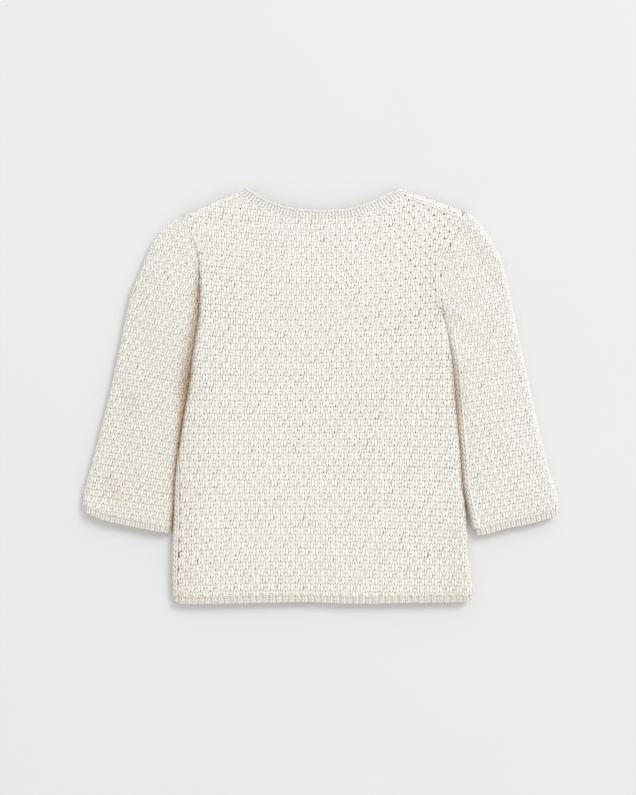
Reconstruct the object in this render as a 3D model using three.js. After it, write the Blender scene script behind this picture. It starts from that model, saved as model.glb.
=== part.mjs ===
import * as THREE from "three";

// A baby's knitted cardigan, buttoned, laid flat on its front so that its back shows.
// Millimetres, +Z up. The origin is on the table, under the middle of the garment.
// +Y runs to the neck. Left and right are the sides as they lie, with the back on top.

// Cloth and layers
const cloth = 2.6; // wall of the chunky knit
const seamGap = 0.3; // clear gap between two sewn pieces
const thickness = 8.3; // back on front, with the air that the loose knit holds
const middle = thickness / 2;
const foldWidth = 5.5; // width in plan over which a folded edge rounds down

// Ribbed trims
const hemDepth = 6.5;
const cuffShare = 0.027; // share of the sleeve's length that is cuff, about 6 mm
const ribHeight = 0.9;
const backRibs = 46; // 5.1 mm apart
const cuffRibs = 15; // 4.1 mm apart
const neckRibs = 26; // 5.1 mm apart
const stepsPerRib = 4;

// Front fastening
const bandLeft = -11;
const bandRight = 13;
const bandThickness = 1.7;
const bandTop = 121.1;
const rampWidth = 16; // width over which a front rises to its button band
const buttonRadius = 5.5;
const buttonThickness = 1.4;
const buttonTopY = 110;
const buttonSpacing = 64;
const buttonCount = 5;
const buttonSides = 14;

// Armholes: how far up the table each side seam ends
const leftUnderarm = 89;
const rightUnderarm = 67;

// Side edges from hem to shoulder: folded edges up to the underarm, armhole seams above it
const bodyEdges = [
  { y: -168, left: -117.0, right: 121.8 },
  { y: -150, left: -117.9, right: 121.0 },
  { y: -130, left: -118.0, right: 118.4 },
  { y: -110, left: -117.4, right: 117.1 },
  { y: -90, left: -116.9, right: 115.8 },
  { y: -70, left: -116.3, right: 113.5 },
  { y: -45, left: -113.7, right: 112.1 },
  { y: -20, left: -110.3, right: 109.7 },
  { y: 5, left: -106.0, right: 107.7 },
  { y: 30, left: -102.9, right: 105.4 },
  { y: 50, left: -99.7, right: 101.9 },
  { y: 67, left: -97.4, right: 97.9 },
  { y: 89, left: -97.0, right: 95.9 },
  { y: 103, left: -97.1, right: 96.5 },
  { y: 114, left: -98.4, right: 100.6 },
  { y: 125, left: -102.3, right: 105.3 },
  { y: 135, left: -106.0, right: 109.9 },
  { y: 144, left: -109.3, right: 114.0 },
  { y: 148, left: -110.8, right: 115.6 },
];

// How far round the left edge the side seam lies: 90 degrees is on the fold, 160 on the back
const leftSeamTurn = [
  { y: -170, degrees: 160 },
  { y: -66, degrees: 160 },
  { y: -34, degrees: 90 },
  { y: 170, degrees: 90 },
];

// Lower edge of the hem
const hemLine = [
  { x: -125, y: -166.4 },
  { x: -89, y: -166.7 },
  { x: -16, y: -165.2 },
  { x: 26, y: -166.4 },
  { x: 76, y: -165.8 },
  { x: 125, y: -165.0 },
];
const hemCornerWidth = 6;
const hemCornerHeight = 4.8;

// Shoulder folds, from the peak of the neckband out to the armhole
const leftShoulder = [
  { x: -59.6, y: 166.8 },
  { x: -66.8, y: 162.8 },
  { x: -82.4, y: 155.9 },
  { x: -95.6, y: 149.6 },
  { x: -109.3, y: 144.2 },
];
const rightShoulder = [
  { x: 65.4, y: 165.3 },
  { x: 72.5, y: 162.6 },
  { x: 82.0, y: 159.4 },
  { x: 92.2, y: 155.6 },
  { x: 104.0, y: 151.3 },
  { x: 115.5, y: 146.9 },
];

// Neckband: its seam (x, y) and its free edge, from the left corner to the right one
const backNeck = [
  { x: -66.8, y: 162.8, edgeX: -59.6, edgeY: 166.8 },
  { x: -52.5, y: 153.2, edgeX: -48.4, edgeY: 159.6 },
  { x: -39.4, y: 147.4, edgeX: -36.4, edgeY: 154.0 },
  { x: -26.0, y: 143.4, edgeX: -24.4, edgeY: 150.4 },
  { x: -11.3, y: 141.7, edgeX: -10.8, edgeY: 148.8 },
  { x: 7.9, y: 141.3, edgeX: 7.6, edgeY: 148.4 },
  { x: 21.2, y: 142.3, edgeX: 19.6, edgeY: 149.2 },
  { x: 34.6, y: 145.6, edgeX: 31.6, edgeY: 152.0 },
  { x: 47.6, y: 150.4, edgeX: 43.6, edgeY: 156.4 },
  { x: 58.9, y: 156.2, edgeX: 54.0, edgeY: 161.6 },
  { x: 72.5, y: 162.6, edgeX: 65.4, edgeY: 165.3 },
];
const leftFrontNeck = [
  { x: -11.3, y: 114.0, edgeX: -11.3, edgeY: 121.1 },
  { x: -30.0, y: 118.5, edgeX: -27.2, edgeY: 125.0 },
  { x: -44.0, y: 126.0, edgeX: -39.6, edgeY: 131.6 },
  { x: -55.0, y: 136.5, edgeX: -49.2, edgeY: 140.6 },
  { x: -62.5, y: 150.0, edgeX: -55.8, edgeY: 152.3 },
  { x: -66.8, y: 162.8, edgeX: -59.6, edgeY: 166.8 },
];
const rightFrontNeck = [
  { x: 72.5, y: 162.6, edgeX: 65.4, edgeY: 165.3 },
  { x: 67.5, y: 150.0, edgeX: 60.8, edgeY: 152.3 },
  { x: 60.0, y: 136.5, edgeX: 54.2, edgeY: 140.6 },
  { x: 48.0, y: 126.0, edgeX: 43.6, edgeY: 131.6 },
  { x: 33.0, y: 118.5, edgeX: 30.2, edgeY: 125.0 },
  { x: 13.3, y: 114.0, edgeX: 13.3, edgeY: 121.1 },
];

// Outer folds of the sleeves, from the cuff up to the shoulder
const leftSleeveOuter = [
  { x: -188.9, y: -93.2 },
  { x: -189.9, y: -84.0 },
  { x: -187.2, y: -69.9 },
  { x: -181.8, y: -50.0 },
  { x: -176.6, y: -30.2 },
  { x: -168.6, y: 2.6 },
  { x: -159.3, y: 45.1 },
  { x: -151.4, y: 82.2 },
  { x: -144.7, y: 98.2 },
  { x: -139.4, y: 111.4 },
  { x: -132.8, y: 124.7 },
  { x: -123.6, y: 135.4 },
  { x: -110.2, y: 143.8 },
];
const rightSleeveOuter = [
  { x: 188.6, y: -96.4 },
  { x: 190.0, y: -88.0 },
  { x: 187.9, y: -75.0 },
  { x: 182.2, y: -57.9 },
  { x: 176.4, y: -35.0 },
  { x: 169.2, y: -1.6 },
  { x: 160.7, y: 37.0 },
  { x: 152.2, y: 77.0 },
  { x: 147.9, y: 97.0 },
  { x: 142.2, y: 114.1 },
  { x: 133.6, y: 128.4 },
  { x: 125.4, y: 139.8 },
  { x: 116.1, y: 146.8 },
];

// Cuff edges, from left to right
const leftCuffEdge = [
  { x: -188.9, y: -93.2 },
  { x: -175.2, y: -99.1 },
  { x: -155.4, y: -103.8 },
  { x: -139.4, y: -107.2 },
  { x: -120.0, y: -110.6 },
];
const rightCuffEdge = [
  { x: 124.4, y: -112.0 },
  { x: 134.0, y: -110.6 },
  { x: 147.9, y: -106.5 },
  { x: 169.2, y: -102.2 },
  { x: 188.6, y: -96.4 },
];

// How far each sleeve's inner fold stands off the body's edge
const leftSleeveOffset = [
  { y: -112, offset: 2.6 },
  { y: -95, offset: 1.3 },
  { y: -80, offset: 0.8 },
  { y: 90, offset: 0.8 },
];
const rightSleeveOffset = [
  { y: -113, offset: 7.2 },
  { y: -95, offset: 2.6 },
  { y: -75, offset: 1.0 },
  { y: -60, offset: 0.8 },
  { y: 90, offset: 0.8 },
];

// Soft ridges and troughs of the top layer, each a line with a width and a rise
const softFolds = [
  { fromX: 114, fromY: 132, toX: 142, toY: 88, width: 7, rise: -0.7 },
  { fromX: 104, fromY: 118, toX: 130, toY: 122, width: 6, rise: 0.6 },
  { fromX: 103, fromY: 62, toX: 122, toY: 44, width: 6, rise: -0.7 },
  { fromX: 84, fromY: 108, toX: 88, toY: 74, width: 7, rise: -0.5 },
  { fromX: -108, fromY: 122, toX: -128, toY: 96, width: 8, rise: 0.6 },
  { fromX: -160, fromY: 10, toX: -148, toY: -34, width: 8, rise: -0.6 },
  { fromX: -172, fromY: -84, toX: -158, toY: -66, width: 6, rise: -0.7 },
  { fromX: -98, fromY: -6, toX: -94, toY: -62, width: 9, rise: -0.6 },
  { fromX: 104, fromY: -96, toX: 100, toY: -150, width: 9, rise: -0.5 },
  { fromX: 150, fromY: -30, toX: 168, toY: -80, width: 9, rise: 0.6 },
];

// Value of a named column at a place between the rows, on a smooth curve through them
function columnAt(rows, key, column, place) {
  const last = rows.length - 1;
  const t = THREE.MathUtils.clamp(place, rows[0][key], rows[last][key]);
  const next = Math.max(rows.findIndex((row) => row[key] >= t), 1);
  const slope = (i) => {
    const before = rows[Math.max(i - 1, 0)];
    const after = rows[Math.min(i + 1, last)];
    return (after[column] - before[column]) / (after[key] - before[key]);
  };
  const low = rows[next - 1];
  const high = rows[next];
  const span = high[key] - low[key];
  const s = (t - low[key]) / span;
  const bend = s * s * (3 - 2 * s);
  const leave = s * (1 - s) * (1 - s) * span * slope(next - 1);
  const arrive = s * s * (s - 1) * span * slope(next);
  return low[column] * (1 - bend) + high[column] * bend + leave + arrive;
}

const leftEdge = (y) => columnAt(bodyEdges, "y", "left", y);
const rightEdge = (y) => columnAt(bodyEdges, "y", "right", y);

// Smooth plan curve through a table of points
function planCurve(rows, xColumn = "x", yColumn = "y") {
  const points = rows.map((row) => new THREE.Vector3(row[xColumn], row[yColumn], 0));
  return new THREE.CatmullRomCurve3(points, false, "centripetal");
}

// Nearest point in plan on a line of sampled points
function nearestOn(line, x, y) {
  const best = new THREE.Vector2();
  let shortest = Infinity;
  for (let i = 1; i < line.length; i += 1) {
    const start = new THREE.Vector2(line[i - 1].x, line[i - 1].y);
    const along = new THREE.Vector2(line[i].x, line[i].y).sub(start);
    const reach = new THREE.Vector2(x, y).sub(start);
    const share = THREE.MathUtils.clamp(reach.dot(along) / along.lengthSq(), 0, 1);
    const foot = start.addScaledVector(along, share);
    const distance = Math.hypot(x - foot.x, y - foot.y);
    if (distance < shortest) best.copy(foot);
    shortest = Math.min(shortest, distance);
  }
  return { distance: shortest, foot: best };
}

// Folded edges of the body, and the lines that its sleeves fold on
const edgeSamples = 60;
const spread = (low, high, count) => Array.from({ length: count + 1 }, (_, i) => low + ((high - low) * i) / count);
const sideFold = (edge, underarm) => spread(-170, underarm, edgeSamples).map((y) => ({ x: edge(y), y }));
const bodyFolds = [
  sideFold(leftEdge, leftUnderarm),
  sideFold(rightEdge, rightUnderarm),
  planCurve(leftShoulder).getSpacedPoints(edgeSamples),
  planCurve(rightShoulder).getSpacedPoints(edgeSamples),
];

// Height that the soft ridges and troughs add at a place
function softHeight(x, y) {
  return softFolds.reduce((sum, fold) => {
    const line = [
      { x: fold.fromX, y: fold.fromY },
      { x: fold.toX, y: fold.toY },
    ];
    return sum + fold.rise * Math.exp(-((nearestOn(line, x, y).distance / fold.width) ** 2));
  }, 0);
}

// How far a front rises from the table towards its button band
const leftBandLift = cloth + 0.2;
const rightBandLift = 0.8;
function bandLift(x) {
  const left = THREE.MathUtils.smoothstep(x, bandLeft - rampWidth, bandLeft);
  const right = 1 - THREE.MathUtils.smoothstep(x, bandRight, bandRight + rampWidth);
  return x < (bandLeft + bandRight) / 2 ? left * leftBandLift : right * rightBandLift;
}

// Outer point of a layer, and the direction that it faces. Each layer runs level and rounds down
// to mid-height at its folds, as a quarter of an ellipse. The point within shows which way is in.
const foldMargin = 0.4; // a point this near a fold looks for its way out from a little further in
function clothPoint(folds, x, y, lower, within, least = seamGap / thickness) {
  const nearest = (place) => {
    const feet = folds.map((line) => nearestOn(line, place.x, place.y));
    return feet.reduce((a, b) => (a.distance < b.distance ? a : b));
  };
  const place = new THREE.Vector2(x, y);
  const { distance } = nearest(place);
  const reach = Math.min(distance / foldWidth, 1);
  const rise = Math.max(Math.sqrt(1 - (1 - reach) ** 2), least);
  const onFold = distance < foldMargin;
  if (onFold) place.lerp(new THREE.Vector2(within.x, within.y), foldMargin / place.distanceTo(within));
  const out = nearest(place).foot.sub(place).normalize();
  const sideways = (1 - reach) / foldWidth;
  const facing = new THREE.Vector3(out.x * sideways, out.y * sideways, ((lower ? -1 : 1) * rise) / middle);
  const height = lower ? middle * (1 - rise) + bandLift(x) : middle + rise * (middle + softHeight(x, y));
  return { at: new THREE.Vector3(x, y, height), facing: facing.normalize() };
}
const bodyCentre = (y) => ({ x: 0, y: Math.min(y, bandTop) });
const upperPoint = (x, y) => clothPoint(bodyFolds, x, y, false, bodyCentre(y));
const lowerPoint = (x, y) => clothPoint(bodyFolds, x, y, true, bodyCentre(y));

// Knitted wall on a grid of cloth points: a plain inside and an outside raised by the relief
function knitWall(name, grid, material, { closed = false, relief = () => 0 } = {}) {
  const rows = grid.length;
  const columns = grid[0].length;
  const shifted = (amount) =>
    grid.flatMap((row, i) => row.map(({ at, facing }, j) => at.clone().addScaledVector(facing, amount(i, j))));
  const points = [...shifted(relief), ...shifted(() => -cloth)];
  const outer = (i, j) => i * columns + (j % columns);
  const inner = (i, j) => rows * columns + outer(i, j);
  const index = [];
  const quad = (a, b, c, d) => index.push(a, b, c, a, c, d);
  const spans = closed ? columns : columns - 1;
  for (let j = 0; j < spans; j += 1) {
    for (let i = 0; i < rows - 1; i += 1) {
      quad(outer(i, j), outer(i, j + 1), outer(i + 1, j + 1), outer(i + 1, j));
      quad(inner(i, j), inner(i + 1, j), inner(i + 1, j + 1), inner(i, j + 1));
    }
    const top = rows - 1;
    quad(outer(0, j), inner(0, j), inner(0, j + 1), outer(0, j + 1));
    quad(outer(top, j), outer(top, j + 1), inner(top, j + 1), inner(top, j));
  }
  for (let i = 0; i < rows - 1 && !closed; i += 1) {
    const end = columns - 1;
    quad(outer(i, 0), outer(i + 1, 0), inner(i + 1, 0), inner(i, 0));
    quad(outer(i, end), inner(i, end), inner(i + 1, end), outer(i + 1, end));
  }
  const geometry = new THREE.BufferGeometry();
  geometry.setAttribute("position", new THREE.Float32BufferAttribute(points.flatMap((p) => p.toArray()), 3));
  geometry.setIndex(index);
  geometry.computeVertexNormals();
  const mesh = new THREE.Mesh(geometry, material);
  mesh.name = name;
  return mesh;
}

// Ribs of a trim, as waves over its columns
const ribWave = (count, first = 0) => (i, j) => {
  const inside = j >= first && j <= first + count * stepsPerRib;
  return inside ? (ribHeight * (1 - Math.cos((2 * Math.PI * (j - first)) / stepsPerRib))) / 2 : 0;
};

// Distance from a fold at a turn of so many degrees round it
const arcDegrees = [90, 60, 30];
const turnDistance = (degrees) => foldWidth * (1 - Math.sin(THREE.MathUtils.degToRad(degrees)));
const seamTurn = 2.6; // half the gap of a side seam, in degrees round the fold
const leftTurn = (y) => columnAt(leftSeamTurn, "y", "degrees", y);

// Columns of the back: round the left edge, across, and round the right edge
function backColumns(arcSteps, flatSteps) {
  const leftArc = spread(0, 1, arcSteps).map((t) => (y) => {
    const start = leftTurn(y) + seamTurn;
    return leftEdge(y) + turnDistance(start + (180 - start) * t);
  });
  const flat = spread(0, 1, flatSteps).map((t) => (y) => {
    return THREE.MathUtils.lerp(leftEdge(y) + foldWidth, rightEdge(y) - foldWidth, t);
  });
  const rightArc = spread(180, 90, arcSteps).map((degrees) => (y) => rightEdge(y) - turnDistance(degrees));
  const place = (column) => (y) => upperPoint(column(y), y);
  return [...leftArc, ...flat.slice(1, -1), ...rightArc].map((column) => ({ x: column, point: place(column) }));
}

// Shares of a front's width at which its columns end on the rows of a neck table, and then go on
function frontShares(neck, bandEdge, innerEdge, shoulderSteps) {
  const shares = neck.map(({ x, y }) => (x - bandEdge) / (innerEdge(y) - bandEdge));
  return [...shares, ...spread(Math.max(...shares), 1, shoulderSteps).slice(1)];
}

// Columns of the left front: from the button band to the left edge and round it to the side seam
const shoulderSteps = 4;
function leftFrontColumns(arcSteps) {
  const innerEdge = (y) => leftEdge(y) + foldWidth;
  const bandEdge = bandLeft - seamGap;
  const flat = frontShares(leftFrontNeck, bandEdge, innerEdge, shoulderSteps).slice(0, -1).map((t) => {
    const x = (y) => THREE.MathUtils.lerp(bandEdge, innerEdge(y), t);
    return { x, point: (y) => lowerPoint(x(y), y) };
  });
  const arc = spread(0, 1, arcSteps).map((t) => {
    const degrees = (y) => (leftTurn(y) - seamTurn) * t;
    const x = (y) => leftEdge(y) + turnDistance(degrees(y));
    const point = (y) => (degrees(y) > 90 ? upperPoint : lowerPoint)(x(y), y);
    return { x, point };
  });
  return [...flat, ...arc];
}

// Columns of the right front: from the right edge in to the button band
function rightFrontColumns(arcSteps) {
  const innerEdge = (y) => rightEdge(y) - foldWidth;
  const bandEdge = bandRight + seamGap;
  const neck = [...rightFrontNeck].reverse();
  const arc = spread(90, 0, arcSteps).map((degrees) => (y) => rightEdge(y) - turnDistance(degrees));
  const flat = frontShares(neck, bandEdge, innerEdge, shoulderSteps).slice(0, -1).reverse().map((t) => (y) => {
    return THREE.MathUtils.lerp(bandEdge, innerEdge(y), t);
  });
  return [...arc, ...flat].map((x) => ({ x, point: (y) => lowerPoint(x(y), y) }));
}

// Lower edge of the hem, rounded at its two corners
const hemSeamY = -160;
function hemBottom(x) {
  const inset = Math.min(x - leftEdge(hemSeamY), rightEdge(hemSeamY) - x);
  const share = 1 - THREE.MathUtils.clamp(inset / hemCornerWidth, 0, 1);
  return columnAt(hemLine, "x", "y", x) + hemCornerHeight * (1 - Math.sqrt(1 - share * share));
}
const hemSeam = (x) => columnAt(hemLine, "x", "y", x) + hemDepth;

// Upper edge of the back and of the fronts: shoulder fold, neck seam, shoulder fold
function straightAt(rows, x) {
  const next = Math.max(rows.findIndex((row) => row.x >= x), 1);
  const share = (x - rows[next - 1].x) / (rows[next].x - rows[next - 1].x);
  return THREE.MathUtils.lerp(rows[next - 1].y, rows[next].y, share);
}
function shoulderOr(neckLine, x) {
  if (x < backNeck[0].x) return columnAt([...leftShoulder].reverse(), "x", "y", x);
  if (x > backNeck[backNeck.length - 1].x) return columnAt(rightShoulder, "x", "y", x);
  return neckLine(x);
}
const frontNeck = [...[...leftFrontNeck].reverse(), ...[...rightFrontNeck].reverse()];
const backTop = (x) => shoulderOr((place) => columnAt(backNeck, "x", "y", place), x);
const frontTop = (x) => shoulderOr((place) => straightAt(frontNeck, place), x);

// Where a column meets a line that depends on x, found by repeated steps
const meetSteps = 30;
function meet(column, line, start) {
  let y = start;
  for (let i = 0; i < meetSteps; i += 1) y = line(column.x(y));
  return y;
}

// Grid of a body panel: rows from the hem seam to the upper edge, denser at the shoulder
const chestLine = 105;
const upperSteps = 5;
const shoulderY = 150;
function panelGrid(columns, levels, upperEdge) {
  const tops = columns.map((column) => meet(column, upperEdge, shoulderY));
  const starts = columns.map((column) => meet(column, (x) => hemSeam(x) + seamGap, hemSeamY));
  const rows = [starts, ...levels.map((y) => columns.map(() => y))];
  for (const share of spread(0, 1, upperSteps).slice(1)) {
    rows.push(tops.map((top) => chestLine + (top - foldWidth - chestLine) * share));
  }
  for (const degrees of [30, 60, 90]) rows.push(tops.map((top) => top - turnDistance(degrees)));
  return rows.map((row) => row.map((y, j) => columns[j].point(y)));
}

// Grid of a hem strip under a body panel
function hemGrid(columns) {
  const bottoms = columns.map((column) => meet(column, hemBottom, hemSeamY));
  const tops = columns.map((column) => meet(column, hemSeam, hemSeamY));
  return [bottoms, tops].map((row) => row.map((y, j) => columns[j].point(y)));
}

// Sleeve in plan: a patch between its two folds, the cuff edge and the armhole seam
function sleevePatch(leftFold, rightFold, cuffEdge, armhole) {
  return (up, across) => {
    const sides = leftFold.getPointAt(up).lerp(rightFold.getPointAt(up), across);
    const ends = cuffEdge.getPointAt(across).lerp(armhole.getPointAt(across), up);
    const low = leftFold.getPointAt(0).lerp(rightFold.getPointAt(0), across);
    const high = leftFold.getPointAt(1).lerp(rightFold.getPointAt(1), across);
    return sides.add(ends).sub(low.lerp(high, up));
  };
}

// Grid of a flattened tube on a patch: over the top from left to right, and back below
function tubeGrid(patch, folds, ups, topSteps, bottomSteps) {
  return ups.map((up) => {
    const width = patch(up, 0).distanceTo(patch(up, 1));
    const near = arcDegrees.map((degrees) => turnDistance(degrees) / width);
    const far = near.map((share) => 1 - share).reverse();
    const edge = foldWidth / width;
    const over = [...near, ...spread(edge, 1 - edge, topSteps), ...far];
    const under = [...near.slice(1), ...spread(edge, 1 - edge, bottomSteps), ...far.slice(0, -1)];
    const centre = patch(up, 0.5);
    const place = (across, lower) => {
      const { x, y } = patch(up, across);
      return clothPoint(folds, x, y, lower, centre, 0);
    };
    return [...over.map((v) => place(v, false)), ...under.reverse().map((v) => place(v, true))];
  });
}

// The two sleeves' patches, their folds beside the body and their armhole seams
const armholeGap = 0.55;
function sleeveFoldBesideBody(edge, offsets, sign, cuffCorner, underarm) {
  const rows = spread(cuffCorner.y, underarm, edgeSamples / 2).map((y) => {
    return { x: edge(y) + sign * columnAt(offsets, "y", "offset", y), y };
  });
  rows[0] = cuffCorner;
  return planCurve(rows);
}
function armholeSeam(edge, sign, underarm, shoulder) {
  const rows = spread(underarm, shoulder.y, edgeSamples / 4).map((y) => ({ x: edge(y) + sign * armholeGap, y }));
  rows[rows.length - 1] = shoulder;
  return rows;
}
const leftShoulderPoint = leftSleeveOuter[leftSleeveOuter.length - 1];
const rightShoulderPoint = rightSleeveOuter[rightSleeveOuter.length - 1];
const leftCuffCorner = leftCuffEdge[leftCuffEdge.length - 1];
const rightCuffCorner = rightCuffEdge[0];
const leftInner = sleeveFoldBesideBody(leftEdge, leftSleeveOffset, -1, leftCuffCorner, leftUnderarm);
const rightInner = sleeveFoldBesideBody(rightEdge, rightSleeveOffset, 1, rightCuffCorner, rightUnderarm);
const leftArmhole = armholeSeam(leftEdge, -1, leftUnderarm, leftShoulderPoint);
const rightArmhole = armholeSeam(rightEdge, 1, rightUnderarm, rightShoulderPoint);
leftArmhole[0] = leftInner.points[leftInner.points.length - 1];
rightArmhole[0] = rightInner.points[rightInner.points.length - 1];
const sleeves = {
  left: {
    patch: sleevePatch(
      planCurve(leftSleeveOuter), leftInner, planCurve(leftCuffEdge), planCurve([...leftArmhole].reverse()),
    ),
    folds: [planCurve(leftSleeveOuter).getSpacedPoints(edgeSamples), leftInner.getSpacedPoints(edgeSamples)],
  },
  right: {
    patch: sleevePatch(rightInner, planCurve(rightSleeveOuter), planCurve(rightCuffEdge), planCurve(rightArmhole)),
    folds: [rightInner.getSpacedPoints(edgeSamples), planCurve(rightSleeveOuter).getSpacedPoints(edgeSamples)],
  },
};

// Points of a table joined by straight lines, at a share of the way through its rows
function straightLine(rows, xColumn, yColumn) {
  const points = rows.map((row) => new THREE.Vector3(row[xColumn], row[yColumn], 0));
  return (share) => {
    const place = share * (points.length - 1);
    const piece = Math.min(Math.floor(place), points.length - 2);
    return points[piece].clone().lerp(points[piece + 1], place - piece);
  };
}

// Neckband: from the left button band round the left front, the back and the right front
const neckbandStart = 0.05; // its first edge, as a share of its depth, clear of the seam
function neckbandGrid() {
  const strip = (seam, edge, shares, point) => shares.map((share) => {
    return [neckbandStart, 1].map((up) => {
      const { x, y } = seam(share).lerp(edge(share), up);
      return point(x, y);
    });
  });
  const curved = planCurve(backNeck);
  const curvedEdge = planCurve(backNeck, "edgeX", "edgeY");
  const rowShare = 1 / (backNeck.length - 1);
  const sharePerMillimetre = rowShare / curved.getPoint(0).distanceTo(curved.getPoint(rowShare));
  const corner = arcDegrees.map((degrees) => turnDistance(degrees) * sharePerMillimetre);
  const cornerEnd = foldWidth * sharePerMillimetre;
  const ribbed = spread(cornerEnd, 1 - cornerEnd, neckRibs * stepsPerRib);
  const backShares = [...corner, ...ribbed, ...corner.map((share) => 1 - share).reverse()];
  const front = (rows, shares) => {
    return strip(straightLine(rows, "x", "y"), straightLine(rows, "edgeX", "edgeY"), shares, lowerPoint);
  };
  const leftShares = [...spread(0, 0.8, leftFrontNeck.length - 2), 0.88, 0.94, 0.98, 1];
  const columns = [
    ...front(leftFrontNeck, leftShares),
    ...strip((t) => curved.getPoint(t), (t) => curvedEdge.getPoint(t), backShares, upperPoint),
    ...front(rightFrontNeck, leftShares.map((share) => 1 - share).reverse()),
  ];
  const firstRib = leftShares.length + corner.length;
  return { grid: [0, 1].map((up) => columns.map((column) => column[up])), firstRib };
}

// Button band: a flat strip from the hem to the top of the neckband
function buttonBand(name, bottomZ, material) {
  const bottomY = columnAt(hemLine, "x", "y", 0);
  const strip = new THREE.BoxGeometry(bandRight - bandLeft, bandTop - bottomY, bandThickness);
  const mesh = new THREE.Mesh(strip, material);
  mesh.name = name;
  mesh.position.set((bandLeft + bandRight) / 2, (bandTop + bottomY) / 2, bottomZ + bandThickness / 2);
  return mesh;
}

// Button: a round disc with a softened rim and a dished face towards the table
function button(name, y, material) {
  const rim = buttonThickness / 3;
  const dish = 0.35;
  const profile = [
    [0, dish],
    [buttonRadius * 0.6, dish],
    [buttonRadius * 0.72, 0],
    [buttonRadius - rim, 0],
    [buttonRadius, rim],
    [buttonRadius, buttonThickness - rim],
    [buttonRadius - rim, buttonThickness],
    [0, buttonThickness],
  ].map(([radius, height]) => new THREE.Vector2(radius, height));
  const disc = new THREE.LatheGeometry(profile, buttonSides);
  disc.rotateX(Math.PI / 2);
  const mesh = new THREE.Mesh(disc, material);
  mesh.name = name;
  mesh.position.set((bandLeft + bandRight) / 2, y, 0);
  return mesh;
}

// Finishes: cream cotton yarn, and buttons of the same colour
const yarn = () => new THREE.MeshStandardMaterial({ color: 0xf0eadc, roughness: 0.95, metalness: 0 });
const buttonFinish = () => new THREE.MeshStandardMaterial({ color: 0xeee6d4, roughness: 0.4, metalness: 0 });

const group = new THREE.Group();

// Back and fronts: the steps across them and round their folds, and the heights of their rows,
// which lie closer where the armholes begin
const arcSteps = 3;
const wrapSteps = 7;
const backSteps = 24;
const backLevels = [-142, -120, -95, -70, -50, -34, -10, 15, 38, 55, 67, 68.5, 72.5, 80, 89, 90.5, 94.5, chestLine];
const leftLevels = [-130, -95, -66, -50, -34, 0, 30, 60, 80, 89, 90.5, 94.5, chestLine];
const rightLevels = [-130, -95, -60, -30, 0, 30, 55, 67, 68.5, 72.5, 88, chestLine];
group.add(knitWall("back", panelGrid(backColumns(arcSteps, backSteps), backLevels, backTop), yarn()));
group.add(knitWall("front_left", panelGrid(leftFrontColumns(wrapSteps), leftLevels, frontTop), yarn()));
group.add(knitWall("front_right", panelGrid(rightFrontColumns(arcSteps), rightLevels, frontTop), yarn()));

// Ribbed hem
const hemBack = hemGrid(backColumns(arcSteps, backRibs * stepsPerRib));
group.add(knitWall("hem_back", hemBack, yarn(), { relief: ribWave(backRibs, arcSteps) }));
group.add(knitWall("hem_front_left", hemGrid(leftFrontColumns(wrapSteps)), yarn()));
group.add(knitWall("hem_front_right", hemGrid(rightFrontColumns(arcSteps)), yarn()));

// Sleeves and ribbed cuffs
const sleeveSteps = 15;
const cuffGap = 0.0014; // seam gap as a share of the sleeve's length
const sleeveTopSteps = 8;
const sleeveBottomSteps = 5;
for (const [side, { patch, folds }] of Object.entries(sleeves)) {
  const ups = spread(cuffShare + cuffGap, 1, sleeveSteps);
  const sleeve = tubeGrid(patch, folds, ups, sleeveTopSteps, sleeveBottomSteps);
  group.add(knitWall(`sleeve_${side}`, sleeve, yarn(), { closed: true }));
  const cuff = tubeGrid(patch, folds, [0, cuffShare], cuffRibs * stepsPerRib, sleeveBottomSteps);
  group.add(knitWall(`cuff_${side}`, cuff, yarn(), { closed: true, relief: ribWave(cuffRibs, arcDegrees.length) }));
}

// Ribbed neckband
const neckband = neckbandGrid();
group.add(knitWall("neckband", neckband.grid, yarn(), { relief: ribWave(neckRibs, neckband.firstRib) }));

// Front fastening: the right band lies outside, on the buttons, with the left band behind it
const outerBandZ = buttonThickness + seamGap;
group.add(buttonBand("button_band_right", outerBandZ, yarn()));
group.add(buttonBand("button_band_left", outerBandZ + bandThickness + seamGap, yarn()));
for (let i = 0; i < buttonCount; i += 1) {
  group.add(button(`button_${i + 1}`, buttonTopY - buttonSpacing * i, buttonFinish()));
}

export default group;
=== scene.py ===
# %% [markdown]
# # A baby's knitted cardigan, laid on its front
# The cardigan is buttoned and lies flat, so a camera straight above it sees the back, both sleeves
# and the ribbed trims. The yarn is thick, so single stitches show. They are built as yarn, thousands
# of small tubes joined in one mesh for each piece, on a thin shell of cloth behind them.
# Sizes are in millimetres, as a knitter measures them, and one function turns them to metres.

import bpy
import numpy as np
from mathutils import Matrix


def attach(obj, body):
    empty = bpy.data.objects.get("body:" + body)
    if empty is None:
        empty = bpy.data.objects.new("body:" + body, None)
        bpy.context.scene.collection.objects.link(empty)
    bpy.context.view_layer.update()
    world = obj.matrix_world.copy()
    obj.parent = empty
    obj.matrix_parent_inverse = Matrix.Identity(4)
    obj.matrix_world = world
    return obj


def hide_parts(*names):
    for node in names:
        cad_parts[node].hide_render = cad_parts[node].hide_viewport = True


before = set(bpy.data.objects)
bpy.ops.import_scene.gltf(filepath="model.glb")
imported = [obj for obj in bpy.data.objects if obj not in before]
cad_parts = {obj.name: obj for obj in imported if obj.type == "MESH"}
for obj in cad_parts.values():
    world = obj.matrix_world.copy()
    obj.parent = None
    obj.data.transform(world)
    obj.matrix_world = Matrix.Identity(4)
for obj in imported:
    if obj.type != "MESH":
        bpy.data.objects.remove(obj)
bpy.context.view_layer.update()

print("nodes:", ", ".join(sorted(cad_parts)))

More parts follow.
